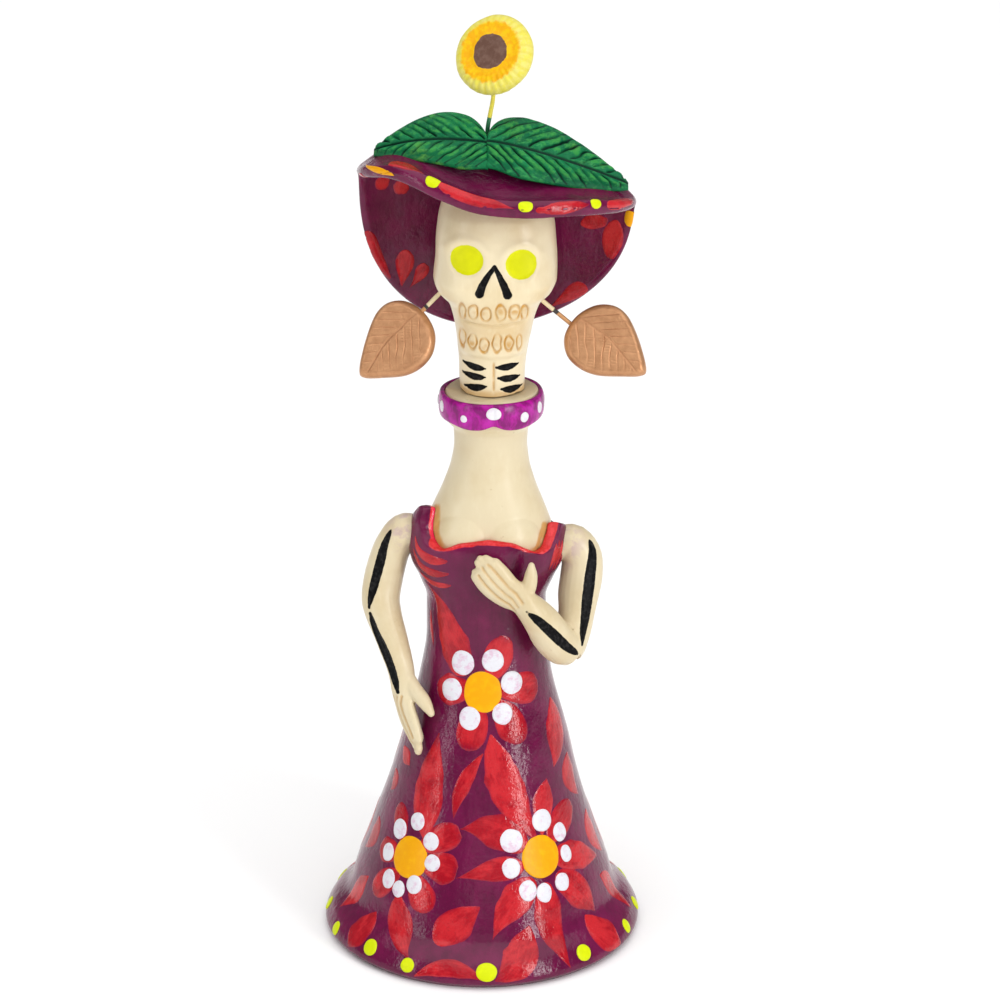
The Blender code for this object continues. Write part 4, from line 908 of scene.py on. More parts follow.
def build_arm(name, node, stations, normal, thumb, fingers, stripes, shoulder, seed, toward):
    flat = len(stations) - 4
    rings, pts, wides, norms, s, pad = tube(stations[:-1], normal, flat, sub=4)
    parts = [rings, tube(thumb, sub=4, ring=16)[0]]
    full = tube(stations, normal, flat, sub=4)
    fp, fw, fn_, fs = full[1], full[2], full[3], full[4]
    k0 = pad + 4 * (len(stations) - 5)
    total = len(fp) - 5 - k0
    for j, (across, reach, r) in enumerate(fingers):
        line = []
        for t in np.linspace(0, reach, 7):
            i = min(k0 + int(round(t * total)), len(fp) - 5)
            hw = max(fs[i, 3] - 0.5, 1.3)
            c = fp[i] + fw[i] * across * hw
            rr = r * (1.0 if t < reach * 0.8 else 0.80)
            line.append((*c, rr, rr * 1.08))
        parts.append(tube(line, sub=2, ring=14)[0])
    v, faces, e = remeshed(parts, 0.26, 9)
    n = vertex_normals(v, faces)
    v = v + n * (0.10 * noise(v, 5.0, seed) + 0.03 * noise(v, 1.6, seed + 1))[:, None]
    black = np.full(len(v), 9.0)
    for path, half in stripes:
        d, along = to_segments(v, spline(path, 4))
        width = half * np.sin(np.pi * np.clip(along, 0.02, 0.98)) ** 0.32
        facing = (n @ unit(np.asarray(toward, float)[None])[0]) > -0.15
        black = np.minimum(black, np.where(facing, d - width, 9.0))
    v = v - n * (0.42 * (1 - ramp(black, -0.9, 0.15)))[:, None]
    # pressed lines between the fingers
    groove = np.zeros(len(v))
    for j in range(len(fingers) - 1):
        a, b = fingers[j], fingers[j + 1]
        line = []
        for t in np.linspace(0.02, min(a[1], b[1]) * 0.96, 8):
            i = min(k0 + int(round(t * total)), len(fp) - 5)
            hw = max(fs[i, 3] - 0.5, 1.3)
            line.append(fp[i] + fw[i] * (a[0] + b[0]) / 2 * hw - fn_[i] * fs[i, 4] * 0.9 * np.sign(np.dot(fn_[i], normal)))
        d, _ = to_segments(v, line)
        groove = np.maximum(groove, 1 - ramp(d, 0.10, 0.62))
    v = v - n * (0.42 * groove)[:, None]
    stain = 1 - ramp(np.linalg.norm(v - np.asarray(shoulder, float), axis=1), 3.0, 9.5)
    # painted shade: the finger grooves are coloured ochre, for the shadow in them
    obj_from(name, v, faces, CREAM_BODY_SHADED, "figure", node,
             attrs={"ochre": groove * 0.55, "stain": stain, "black": black, "eye": np.full(len(v), 9.0)})


# ------------------------------------------------------------------ skull
def tooth_rows():
    """Centre x, centre z, half width and half height of each tooth."""
    out = []
    for k, x in enumerate((-4.7, -1.9, 1.2, 5.1, 8.5, 11.2)):
        out.append((x, 176.7 + 0.25 * math.sin(2.3 * k), 0.90 if abs(x - 3.4) > 6.5 else 1.22, 2.15 + 0.2 * math.cos(1.7 * k)))
    for k, x in enumerate((-4.7, -2.1, 0.9, 4.1, 7.1, 9.8)):
        out.append((x, 168.3 + 0.3 * math.sin(1.9 * k + 1), 0.75 if abs(x - 3.2) > 5.5 else 1.05, 2.35 + 0.25 * math.cos(2.1 * k)))
    return out


VERTEBRAE = [((-4.6, 161.4), (1.1, 160.6)), ((-4.7, 158.4), (1.1, 158.2)), ((-4.2, 154.9), (1.4, 155.7)),
             ((4.0, 161.0), (9.6, 161.2)), ((4.5, 158.0), (10.0, 157.6)), ((5.3, 154.9), (10.6, 154.6))]


def build_skull():
    n = 380
    t = 2 * np.pi * np.arange(n) / n
    phi = t - 0.42 * np.sin(t)
    zs = np.concatenate([np.linspace(152.95, 200, 262), np.linspace(200, 213.45, 50)[1:]])
    Z, PH = np.meshgrid(zs, phi, indexing="ij")
    cx, a = curve(SKULL, Z, 1), curve(SKULL, Z, 2)
    fr, bk, p = curve(SKULL, Z, 3), curve(SKULL, Z, 4), curve(SKULL, Z, 5)
    sx, sy = signed_power(np.sin(PH), p), signed_power(np.cos(PH), p)
    X = cx + a * sx
    Y = np.where(sy > 0, fr, -bk) * sy
    # the bottom edge of the neck is torn, not cut
    tear = np.clip(noise(stack(X, Y, 0 * Z), 2.2, 11), 0, 1) * 0.9 + np.clip(noise(stack(X, Y, 0 * Z), 5.0, 3), -0.2, 1) * 0.5
    Zt = Z + tear * (1 - ramp(Z, 152.95, 155.2))
    P = stack(X, Y, Zt)
    N = grid_normals(P, True)
    if (N[100] * stack(np.sin(phi), -np.cos(phi), 0 * phi)).sum() < 0:
        N = -N
    front = ramp(-Y, 2.0, 6.0)
    d = 0.10 * noise(P, 7.0, 4) + 0.035 * noise(P, 2.2, 5) - 0.06
    # brow, eye hollows, cheeks
    eye = np.full(P.shape[:2], 9.0)
    for ex, ez, rx, rz in [(-3.5, 191.0, 4.25, 3.95), (10.3, 189.9, 4.0, 3.95)]:
        q = np.sqrt(((X - ex) / rx) ** 2 + ((Zt - ez) / rz) ** 2)
        eye = np.minimum(eye, np.where(Y < -4, (q - 1) * 4.0, 9.0))
        d = d - 0.50 * (1 - ramp(q, 0.75, 1.25)) * front
        d = d + 0.30 * np.exp(-((q - 1.35) / 0.28) ** 2) * ramp(Zt, ez, ez + 3) * front
    d = d + 0.55 * np.exp(-((np.abs(X - 3.7) - 9.8) / 3.0) ** 2 - ((Zt - 183.5) / 2.6) ** 2) * front
    # muzzle: two pads for the tooth rows with the mouth between them
    mz = 173.0 + 0.10 * np.abs(X - 3.3)
    mouth = np.exp(-((Zt - mz) / 0.42) ** 2)
    d = d - 0.55 * mouth * front * ramp(9.0 - np.abs(X - 3.3), 0, 1.5)
    d = d + 0.30 * np.exp(-((Zt - 176.7) / 2.6) ** 2) * front * ramp(9.5 - np.abs(X - 3.4), 0, 3)
    d = d + 0.35 * np.exp(-((Zt - 168.0) / 3.0) ** 2) * front * ramp(8.5 - np.abs(X - 3.2), 0, 3)
    d = d - 0.35 * np.exp(-((Zt - 163.2) / 1.0) ** 2) * front
    ochre = 0.25 * np.exp(-((Zt - 171.8) / 5.2) ** 2) * front * ramp(10.5 - np.abs(X - 3.3), 0, 4)
    for tx, tz, rx, rz in tooth_rows():
        q = np.sqrt(((X - tx) / rx) ** 2 + ((Zt - tz) / rz) ** 2) + 0.22 * noise(stack(X + tx, Zt, 0 * X), 1.5, 21)
        ring = np.exp(-((q - 1.0) / (0.20 if rx > 1 else 0.24)) ** 2) * front
        # a gouge open at one end, as the tip of a hollow tool leaves
        open_end = ramp((Zt - tz) / rz * (1 if tz > 172 else -1), -1.15, -0.45)
        d = d - 0.42 * ring * (0.35 + 0.65 * open_end)
        worn = ramp(noise(stack(X, Zt, tx + 0 * X), 1.7, 23), -0.5, 0.5)
        ochre = np.maximum(ochre, np.where(Y < -3, np.minimum(1, 1.5 * ring) * (0.45 + 0.55 * open_end) * (0.65 + 0.35 * worn), 0))
        ochre = np.maximum(ochre, np.where(Y < -3, 0.85 * worn * (1 - ramp(q, 0.4, 0.95)) * ramp((Zt - tz) / rz * (1 if tz > 172 else -1), -0.6, 0.3), 0))
    # nose
    black = np.full(P.shape[:2], 9.0)
    flat = stack(X, 0 * X, Zt)
    for path in ([(3.55, 0, 189.6), (1.9, 0, 187.2), (0.5, 0, 184.6), (-0.3, 0, 182.2)],
                 [(3.55, 0, 189.6), (4.7, 0, 187.2), (5.9, 0, 184.6), (6.85, 0, 181.9)]):
        dist, along = to_segments(flat, path)
        black = np.minimum(black, np.where(Y < -6, dist - (0.50 + 0.66 * along), 9.0))
    d = d + 0.35 * np.exp(-((X - 3.4) / 2.6) ** 2 - ((Zt - 185.5) / 3.4) ** 2) * front
    # bones of the neck
    for (x0, z0), (x1, z1) in VERTEBRAE:
        dist, along = to_segments(flat, [(x0, 0, z0), ((x0 + x1) / 2, 0, (z0 + z1) / 2 - 0.25), (x1, 0, z1)])
        width = 1.0 * np.sin(np.pi * np.clip(along, 0.05, 0.97)) ** 0.6
        black = np.minimum(black, np.where(Y < -1.5, dist - width, 9.0))
    d = d - 0.50 * (1 - ramp(black, -0.55, 0.18))
    # painted shade: the pressed line down the middle of the neck is also coloured ochre, for the shadow in it
    neck = np.exp(-((X - 3.3) / 0.35) ** 2) * ramp(Zt, 153.5, 155) * (1 - ramp(Zt, 161.5, 163)) * front
    d = d - 0.30 * neck
    ochre = np.maximum(ochre, 0.7 * neck)
    # painted shade: ochre round the foot of the neck, for the shadow in the seam where it sits on the collar
    neck_seam_shade = (1 - ramp(Zt, 153.6, 155.2)) * 0.55
    ochre = np.maximum(ochre, neck_seam_shade)
    P = P + N * d[..., None]
    rows = [P[i] for i in range(len(P))]
    under = []
    for r, z in [(7.6, 153.1), (6.0, 153.0), (4.4, 153.0), (3.3, 153.0), (3.3, 160.0), (3.3, 168.2)]:
        zz = z + (0.25 * noise(stack(r * np.sin(phi), r * np.cos(phi), 0 * phi), 2.0, 6) + 0.15 if r > 4 else 0 * phi)
        under.append(stack(PEG_X + r * np.sin(phi), -r * np.cos(phi), zz))
    G = np.stack(under[::-1] + rows)
    R, C = G.shape[:2]
    verts = G.reshape(-1, 3)
    faces = grid_faces(R, C, wrap_cols=True)
    faces.append([j for j in range(C)])
    faces.append([(R - 1) * C + j for j in range(C)])
    k = len(under)

    def full(x, fill):
        return np.concatenate([np.full((k, C), fill), x]).ravel()

    # the skull has no stain: the stain attribute is zero everywhere
    stain = np.zeros(P.shape[:2])
    obj_from("skull_clay", verts, faces, CREAM, "head", "skull",
             attrs={"ochre": full(ochre, 0.3), "stain": full(stain, 0.0), "black": full(black, 9.0), "eye": full(eye, 9.0)})


# ------------------------------------------------------------------ hat
def hat_mid(a, f):
    a = np.clip(a, -0.9999, 0.9999)
    w2 = 1 - a * a
    w = np.sqrt(w2)
    ridge = HAT_END_Z + HAT_RISE * (1 - np.abs(a) ** 3.0)
    x = HAT_X + HAT_HALF * a
    af = np.abs(f)
    yf = HAT_FRONT * w * f
    zf = ridge - curve(HAT_DROP, a) * w2 * (1 - (1 - af / 0.78) ** 2)
    yb = HAT_BACK * w2 ** 0.35 * (1 - (1 - np.clip(f, 0, 1)) ** 3.2)
    fall = ridge - (HAT_END_Z - HAT_FALL * w2 ** 0.42)
    zb = ridge - fall * np.clip(f, 0, 1) ** 1.5
    xb = x + HAT_FLARE * a ** 3 * np.clip(f, 0, 1) ** 2 - HAT_SKEW * w2 ** 0.77 * np.clip(f, 0, 1) ** 3
    front = f < 0
    x, y, z = np.where(front, x, xb), np.where(front, yf, yb), np.where(front, zf, zb)
    return stack(x, y, z + HAT_TILT * (x - HAT_X))


def hat_polar(r, phi):
    a = r * np.cos(phi)
    w = np.sqrt(np.maximum(1e-6, 1 - a * a))
    return hat_mid(a, np.clip(r * np.sin(phi) / w, -1.0, 1.0))


def hat_frame(r, phi):
    r = np.clip(r, 1e-4, 0.985)
    e = 0.012
    a, b = r * np.cos(phi), r * np.sin(phi)

    def at(p, q):
        return hat_polar(np.hypot(p, q), np.arctan2(q, p))
    return unit(np.cross(at(a + e, b) - at(a - e, b), at(a, b + e) - at(a, b - e)))


def hat_surf(phi, s):
    """s from 0 at the top's middle, over the rim at 1, to 2 at the middle of the underside."""
    s = np.asarray(s, float) + 0 * phi
    phi = phi + 0 * s
    edge = 0.095
    r = np.where(s < 1 - edge, s / (1 - edge), np.where(s > 1 + edge, (2 - s) / (1 - edge), 1.0)) * 0.962
    n = hat_frame(r, phi)
    front = np.maximum(0.0, -np.sin(phi)) ** 0.6
    end = np.abs(np.cos(phi)) ** 6 * ramp(r, 0.70, 0.95)
    t = (HAT_T / 2) * (1 - 0.35 * end) + 0.75 * front * ramp(r, 0.66, 0.95)
    ang = np.clip((1 - s) / edge, -1, 1) * np.pi / 2
    mid = hat_polar(r, phi)
    out = unit(hat_polar(np.full_like(r, 0.999), phi) - hat_polar(np.full_like(r, 0.93), phi))
    reach = np.linalg.norm(hat_polar(np.full_like(r, 1.0), phi) - hat_polar(np.full_like(r, 0.962), phi), axis=-1)
    p = mid + n * (t * np.sin(ang))[..., None] + out * (np.minimum(reach, 2.3) * np.cos(ang))[..., None]
    wob = 0.16 * noise(mid, 11.0, 4) + 0.06 * noise(mid, 3.5, 6) - 0.06
    return p + n * (wob * np.sign(np.sin(ang + 1e-9)))[..., None]


HAT_STEPS = (3e-3, 2e-3)


def build_hat():
    n = 420
    phi = 2 * np.pi * np.arange(n) / n
    s = np.concatenate([np.linspace(0.012, 0.905, 72), np.linspace(0.905, 1.095, 27)[1:-1], np.linspace(1.095, 1.988, 72)])
    P = np.stack([hat_surf(phi, v + 0 * phi) for v in s])
    R, C = P.shape[:2]
    verts = P.reshape(-1, 3)
    faces = grid_faces(R, C, wrap_cols=True)
    faces.append([j for j in range(C)])
    faces.append([(R - 1) * C + j for j in range(C)])
    obj_from("hat_clay", verts, faces, purple_material("plum_varnish_hat"), "head", "hat")


# strokes: start, middle, end as (degrees round the hat, place from top 0 over the rim 1 to underside 2)
HAT_STROKES = [
    ((-116, .945), (-99.5, .95), (-83, .99), 2.9, .35, "tear"), ((-74.5, 1.005), (-62, .99), (-49, .968), 2.0, .5, "drop"),
    ((-39, .985), (-29, .945), (-10, .906), 2.3, .5, "petal"), ((-146.5, .847), (-137.5, .85), (-124.5, .886), 3.4, .5, "drop"),
    ((156, 1.02), (149, 1.053), (133, 1.052), 2.2, .45, "petal"), ((134.5, 1.167), (130, 1.139), (126.5, 1.083), 2.7, .4, "tear"),
    ((121.5, 1.195), (121, 1.158), (123, 1.102), 1.9, .35, "tear"), ((15.5, 1.125), (22, 1.116), (26.5, 1.09), 3.3, .45, "petal"),
    ((39.5, 1.055), (46.5, 1.094), (57, 1.083), 2.6, .35, "tear"), ((34.5, 1.265), (27.5, 1.222), (20, 1.165), 2.3, .5, "petal"),
    # the flap's outer face
    ((152, .70), (141, .62), (128, .66), 2.7, .4, "tear"), ((118, .80), (106, .70), (92, .72), 2.6, .45, "drop"),
    ((84, .56), (72, .64), (64, .76), 2.8, .4, "tear"), ((54, .60), (44, .68), (30, .70), 2.6, .5, "petal"),
    ((100, .40), (86, .34), (66, .40), 2.4, .45, "drop"), ((136, .42), (150, .36), (170, .38), 2.2, .45, "tear"),
    ((100, .90), (92, .86), (82, .90), 2.1, .5, "drop"), ((48, .88), (40, .84), (31, .88), 2.0, .5, "drop")]
HAT_PATCHES = [(-167.5, 1.03, 2.0, 1.9), (164, 1.178, 2.3, 2.0), (154, 1.27, 2.2, 2.0)]
HAT_AMBER = [(9, 1.035, 2.7, 2.3), (76, .72, 2.6, 2.6), (124, .56, 2.4, 2.4)]
HAT_NEON = [(-118.5, .940, 2.0, 2.3), (-78.5, .973, 1.9, 1.5), (-45.5, .959, 1.6, 1.6), 
            (138, .80, 1.9, 1.9), (72, .86, 1.8, 1.8), (96, .56, 1.8, 1.8), (40, .52, 1.7, 1.7)]


def paint_hat():
    rad = math.radians
    red = Paint()
    for p0, pm, p2, w, at, kind in HAT_STROKES:
        ends = [p0[0], pm[0], p2[0]]
        for k in (1, 2):
            while ends[k] - ends[k - 1] > 180:
                ends[k] -= 360
            while ends[k] - ends[k - 1] < -180:
                ends[k] += 360
        stroke(red, hat_surf, HAT_STEPS, (rad(ends[0]), p0[1]), (rad(ends[1]), pm[1]), (rad(ends[2]), p2[1]), w, at, kind,
               lift=0.06, thick=0.09, nu=48, flip=-1.0, wobble=0.14, calm=5)
    for a, t, ra, rb in HAT_PATCHES:
        dot(red, hat_surf, HAT_STEPS, (rad(a), t), ra, rb, 0.10, 0.06, flip=-1.0, ring=36, wobble=0.16, calm=2)
    red.build("hat_red_strokes", stroke_material("hat_red_paint", RED, (0.53, 0.016, 0.024)), "head")
    p = Paint()
    for a, t, ra, rb in HAT_AMBER:
        dot(p, hat_surf, HAT_STEPS, (rad(a), t), ra, rb, 0.12, 0.06, flip=-1.0, ring=36, wobble=0.10, calm=2)
    stroke(p, hat_surf, HAT_STEPS, (rad(-164.5), .886), (rad(-145.5), .979), (rad(-136.5), 1.021), 0.95, .5, "leaf",
           lift=0.06, thick=0.10, flip=-1.0, calm=3)
    p.build("hat_amber_touches", paint_material("hat_amber", (0.80, 0.35, 0.0), (0.84, 0.41, 0.0), 0.32, 0.4), "head")
    p = Paint()
    for a, t, ra, rb in HAT_NEON:
        dot(p, hat_surf, HAT_STEPS, (rad(a), t), ra, rb, 0.22, 0.06, flip=-1.0, wobble=0.08, calm=2)
    p.build("hat_neon_dots", neon_material("neon_hat"), "head")


# ------------------------------------------------------------------ leaves on the hat
def leaf_surf(side, p, q):
    p, q = np.broadcast_arrays(np.asarray(p, float), np.asarray(q, float))
    pc = np.clip(p, 1e-4, 0.985)
    length = 29.2 if side < 0 else 36.2
    x = 1.75 + side * (-0.15 + length * p)
    if side < 0:
        y = -9.2 + 6.0 * p ** 2
        z = 220.2 + 1.6 * np.sin(np.pi * p * 0.8) - 4.6 * p ** 2
        zlow = 0.85 - 0.4 * p
    else:
        y = -9.2 + 5.2 * p ** 2
        z = 220.6 - 0.6 * np.sin(np.pi * p) - 12.6 * p ** 1.6
        zlow = 0.85
    low = 7.0 * (0.80 + 0.20 * ramp(pc, 0, 0.25)) * (1 - pc ** 2.2) ** 0.8
    high = (8.4 if side < 0 else 9.4) * np.sin(np.pi * pc ** 0.62) ** 0.75
    ql, qh = np.minimum(q, 0), np.maximum(q, 0)
    y = y + low * ql * 0.75 + high * qh * 0.80
    z = z + low * ql * zlow + high * qh * 0.66
    return stack(x, y, z)


def build_leaf(name, node, side, seed):
    p = np.concatenate([np.linspace(0.0, 0.06, 8), np.linspace(0.06, 0.94, 150)[1:], np.linspace(0.94, 0.985, 12)[1:]])
    q = np.sin(np.linspace(-np.pi / 2, np.pi / 2, 110))
    PP, QQ = np.meshgrid(p, q, indexing="ij")
    S = leaf_surf(side, PP, QQ)
    N = grid_normals(S)
    if N[..., 2].mean() < 0:
        N = -N
    low = 7.0 * (1 - np.clip(PP, 0, 0.98) ** 2.2) ** 0.8
    across = np.abs(QQ) * np.where(QQ < 0, low * 1.1, (8.4 if side < 0 else 9.4) * np.sin(np.pi * np.clip(PP, 1e-4, 0.985) ** 0.62) ** 0.75)
    length = 29.2 if side < 0 else 36.2
    run = PP * length
    warp = 0.9 * noise(S, 5.0, seed) + 0.40 * noise(S, 1.6, seed + 1)
    mid = np.exp(-(across / 0.42) ** 2)
    phase = (run - 1.15 * across - 0.02 * across ** 2 + warp) / (3.0 if side < 0 else 3.3) + np.where(QQ < 0, 0.37, 0.0)
    frac = np.abs(phase - np.round(phase))
    vein = np.exp(-(frac / 0.14) ** 2) * ramp(across, 0.2, 1.0)
    strength = 0.62 + 0.60 * noise(stack(np.round(phase) * 3.1, QQ * 2.0 + seed, run * 0.25), 1.0, seed + 3)
    vein = vein * np.clip(strength, 0.15, 1.0)
    small = (run - 1.5 * across + 2.5 * warp) / 0.9
    fine = np.exp(-(np.abs(small - np.round(small)) / 0.2) ** 2) * 0.26 * ramp(noise(S, 2.2, seed + 9), -0.1, 0.5)
    groove = np.clip(np.maximum(np.maximum(mid, vein), fine), 0, 1)
    pillow = 0.35 * (1 - np.abs(QQ) ** 4)
    rim = ramp(1 - np.abs(QQ), 0.0, 0.38) * ramp(PP, 0, 0.02) * (1 - ramp(PP, 0.955, 0.985))
    swell = 0.44 * np.sin(np.pi * frac) * ramp(across, 0.3, 1.6)
    lift = pillow + swell * rim - 0.82 * groove * rim + 0.10 * noise(S, 2.6, seed + 4)
    T = S + N * (lift - 0.55 * (1 - rim))[..., None]
    B = S + stack(0, 0.40, -0.92) * (LEAF_T - 0.8 * np.abs(QQ))[..., None]
    M = (S + B) / 2
    edge_out = unit(np.gradient(S, axis=1)) * np.sign(QQ)[..., None]
    R, C = S.shape[:2]
    rows, cols = [0, -1], [0, -1]
    verts = np.concatenate([T.reshape(-1, 3), B.reshape(-1, 3)])
    faces = grid_faces(R, C) + [f[::-1] for f in grid_faces(R, C, start=R * C)]
    rim_idx = [i * C for i in range(R)] + [(R - 1) * C + j for j in range(1, C)] \
        + [i * C + C - 1 for i in range(R - 2, -1, -1)] + [j for j in range(C - 2, 0, -1)]
    tt = np.array(rim_idx)
    midv = (T.reshape(-1, 3)[tt] + B.reshape(-1, 3)[tt]) / 2
    centre = S.reshape(-1, 3).mean(0)
    push = unit(midv - M.reshape(-1, 3)[[max(0, min(R * C - 1, (i // C) * C + C // 2)) for i in rim_idx]])
    midv = midv + push * 0.28
    start = len(verts)
    verts = np.concatenate([verts, midv])
    m = len(rim_idx)
    for k in range(m):
        j = (k + 1) % m
        faces.append([rim_idx[k], rim_idx[j], start + j, start + k])
        faces.append([start + k, start + j, R * C + rim_idx[j], R * C + rim_idx[k]])
    # crest marks the vein ridges: the green paints them lighter, as dry-brushed paint and painted highlight
    crest = np.sin(np.pi * frac) * rim * ramp(across, 0.6, 2.0)
    att = np.concatenate([groove.ravel(), np.zeros(R * C), np.zeros(m)])
    top = np.concatenate([crest.ravel(), np.zeros(R * C), np.zeros(m)])
    obj_from(name, verts, faces, GREEN, "head", node, attrs={"groove": att, "crest": top})


def green_material():
    n = Nodes("leaf_green")
    slow = n.noise(140, 4.0, 0.6)
    colour = n.mix(n.between(slow, 0.35, 0.68), (0.001, 0.115, 0.042), (0.006, 0.185, 0.060))
    dry = n.noise(800, 4.0, 0.7, stretch=(0.45, 1.0, 1.0))
    crest = n.math("SUBTRACT", 1.0, n.attr("groove"), clamp=True)
    colour = n.mix(n.math("MULTIPLY", n.math("MULTIPLY", n.between(dry, 0.50, 0.66), crest), 0.65), colour, (0.045, 0.34, 0.085))
    patch = n.between(n.noise(90, 3.0, 0.5), 0.56, 0.70)
    colour = n.mix(n.math("MULTIPLY", n.math("MULTIPLY", patch, n.between(dry, 0.40, 0.60)), 0.55), colour, (0.13, 0.38, 0.05))
    # lighter green on the vein ridges: dry-brushed paint and painted highlight
    colour = n.mix(n.math("MULTIPLY", n.math("MULTIPLY", n.between(n.attr("crest"), 0.45, 0.85), n.between(n.noise(520, 4.0, 0.65), 0.42, 0.56)), 0.60), colour, (0.045, 0.31, 0.050))
    # painted shade: near-black green in the vein grooves
    colour = n.mix(n.math("MULTIPLY", n.between(n.attr("groove"), 0.12, 0.75), 0.94), colour, (0.0006, 0.024, 0.014))
    rough = n.math("ADD", n.math("MULTIPLY", n.noise(400, 3.0), 0.2), 0.36)
    return n.finish(colour, rough, n.bump(n.noise(1300, 3.0, 0.6), 0.00006), spec=0.14)


# ------------------------------------------------------------------ flower and wires
def build_flower():
    th = 2 * np.pi * np.arange(330) / 330
    prof = [(0.02, 3.0), (1.5, 3.05), (3.0, 3.05), (4.4, 2.95), (5.4, 2.75), (6.4, 2.75), (7.4, 2.85), (8.2, 2.7), (8.9, 2.35), (9.5, 1.8), (9.9, 1.1),
            (10.15, 0.3), (10.1, -0.6), (9.8, -1.4), (9.3, -2.1), (8.5, -2.7), (7.4, -3.05), (5.5, -3.15), (3.0, -3.15),
            (0.02, -3.15)]
    s = spline([(*p, 0, 0, 0) for p in prof], 5)[:, :2]
    RR, TT = s[:, :1] + 0 * th[None, :], th[None, :] + 0 * s[:, :1]
    DD = s[:, 1:2] + 0 * TT
    face = ramp(DD, -1.5, 1.0)
    fl = TT * 31 + 0.9 * noise(stack(np.cos(TT) * 6, np.sin(TT) * 6, 0 * TT), 2.0, 3)
    ribs = np.cos(fl)
    amp = (0.02 + 0.08 * ramp(-np.sin(TT), 0.2, 0.9)) * ramp(RR, 5.0, 8.0) * (1 - 0.7 * ramp(RR, 9.3, 10.0))
    bump = amp * (np.sign(ribs) * np.abs(ribs) ** 0.8) + 0.16 * noise(stack(RR * np.cos(TT), RR * np.sin(TT), DD), 3.0, 5)
    nx = np.gradient(s[:, 1])
    nr = np.gradient(s[:, 0])
    nrm = unit(np.stack([-nx, nr], 1))
    sign = -1.0 if nrm[0, 1] < 0 else 1.0
    nrm = nrm * sign
    R2 = RR * 1.012 + nrm[:, :1] * bump
    D2 = DD + nrm[:, 1:2] * bump
    R2 = np.minimum(R2, FLOWER_R - 0.02)
    x, y, z = R2 * np.cos(TT), -D2, R2 * np.sin(TT)
    tip = -math.radians(FLOWER_TIP)
    y, z = y * math.cos(tip) - z * math.sin(tip), y * math.sin(tip) + z * math.cos(tip)
    c, sn = math.cos(-math.radians(FLOWER_TURN)), math.sin(-math.radians(FLOWER_TURN))
    P = stack(x * c - y * sn, x * sn + y * c, z) + np.array(FLOWER_C)
    R, C = P.shape[:2]
    faces = grid_faces(R, C, wrap_cols=True) + [[j for j in range(C)], [(R - 1) * C + j for j in range(C)]]
    n = Nodes("flower_paint")
    rho, ang = n.attr("rho"), n.attr("rib")
    wob = n.math("MULTIPLY", n.math("SUBTRACT", n.noise(260, 3.0, 0.6), 0.5), 1.7)
    streak = n.noise(700, 4.0, 0.65)
    yellow = n.mix(n.between(streak, 0.4, 0.65), (0.74, 0.67, 0.17), (0.74, 0.66, 0.08))
    # painted shade: the yellow is darker in the troughs between the rim's ribs
    yellow = n.mix(n.math("MULTIPLY", n.between(ang, 0.2, -0.9), 0.30), yellow, (0.62, 0.50, 0.03))
    orange = n.mix(n.between(streak, 0.4, 0.62), (0.80, 0.38, 0.0), (0.82, 0.50, 0.0))
    brown = n.mix(n.between(n.noise(500, 4.0, 0.6), 0.4, 0.7), (0.120, 0.058, 0.040), (0.175, 0.098, 0.072))
    edge = n.math("ADD", rho, wob)
    colour = n.mix(n.between(n.math("ADD", rho, n.math("MULTIPLY", n.math("SUBTRACT", streak, 0.5), 2.6)), 7.4, 8.3), orange, yellow)
    colour = n.mix(n.between(edge, 4.55, 4.45), colour, brown)
    mat = n.finish(colour, 0.42, n.bump(n.noise(1200, 3.0, 0.6), 0.00003), spec=0.2)
    rho_v = np.where(DD > 0, RR, 10.0)
    obj_from("flower_clay", P.reshape(-1, 3), faces, mat, "flower", "flower_disc",
             attrs={"rho": rho_v, "rib": ribs * ramp(RR, 6, 8)})


def build_wire(name, node, points, body, mat, radius=0.55):
    s = spline([(*p, radius, radius) for p in points], 10)
    pts = s[:, :3]
    ahead = unit(np.gradient(pts, axis=0))
    up = np.array([0.0, 1.0, 0.0])
    w = unit(np.cross(ahead, up))
    u = np.cross(w, ahead)
    th = 2 * np.pi * np.arange(20) / 20
    along = np.concatenate([[0], np.cumsum(np.linalg.norm(np.diff(pts, axis=0), axis=1))])
    k = radius * (1 + 0.05 * noise(stack(along * 1.0, 0 * along, 0 * along), 1.4, 5))
    P = pts[:, None, :] + k[:, None, None] * (np.cos(th)[None, :, None] * w[:, None, :] + np.sin(th)[None, :, None] * u[:, None, :])
    R, C = P.shape[:2]
    faces = grid_faces(R, C, wrap_cols=True) + [[j for j in range(C)], [(R - 1) * C + j for j in range(C)]]
    obj_from(name, P.reshape(-1, 3), faces, mat, body, node, attrs={"along": along[:, None] + 0 * th[None, :]})


def banded_wire(name, bands):
    """bands: (where it ends in mm, colour, metal), the last one without end."""
    n = Nodes(name)
    x = n.math("ADD", n.attr("along"), n.math("MULTIPLY", n.math("SUBTRACT", n.noise(900, 3.0), 0.5), 0.8))
    colour, metal = bands[0][1], bands[0][2]
    metal_v = n.math("ADD", metal, 0.0)
    for (end, _, _), (_, c, m) in zip(bands, bands[1:]):
        f = n.between(x, end - 0.12, end + 0.12)
        colour = n.mix(f, colour, c)
        metal_v = n.math("ADD", n.math("MULTIPLY", metal_v, n.math("SUBTRACT", 1.0, f)), n.math("MULTIPLY", f, m))
    return n.finish(colour, 0.38, n.bump(n.noise(1500, 3.0), 0.00002), metal=metal_v)


def wire_end(at, centre, face):
    out = unit(np.asarray(face, float)[None])[0]
    at, centre = np.asarray(at, float), np.asarray(centre, float)
    return at + out * np.dot(centre - at, out)


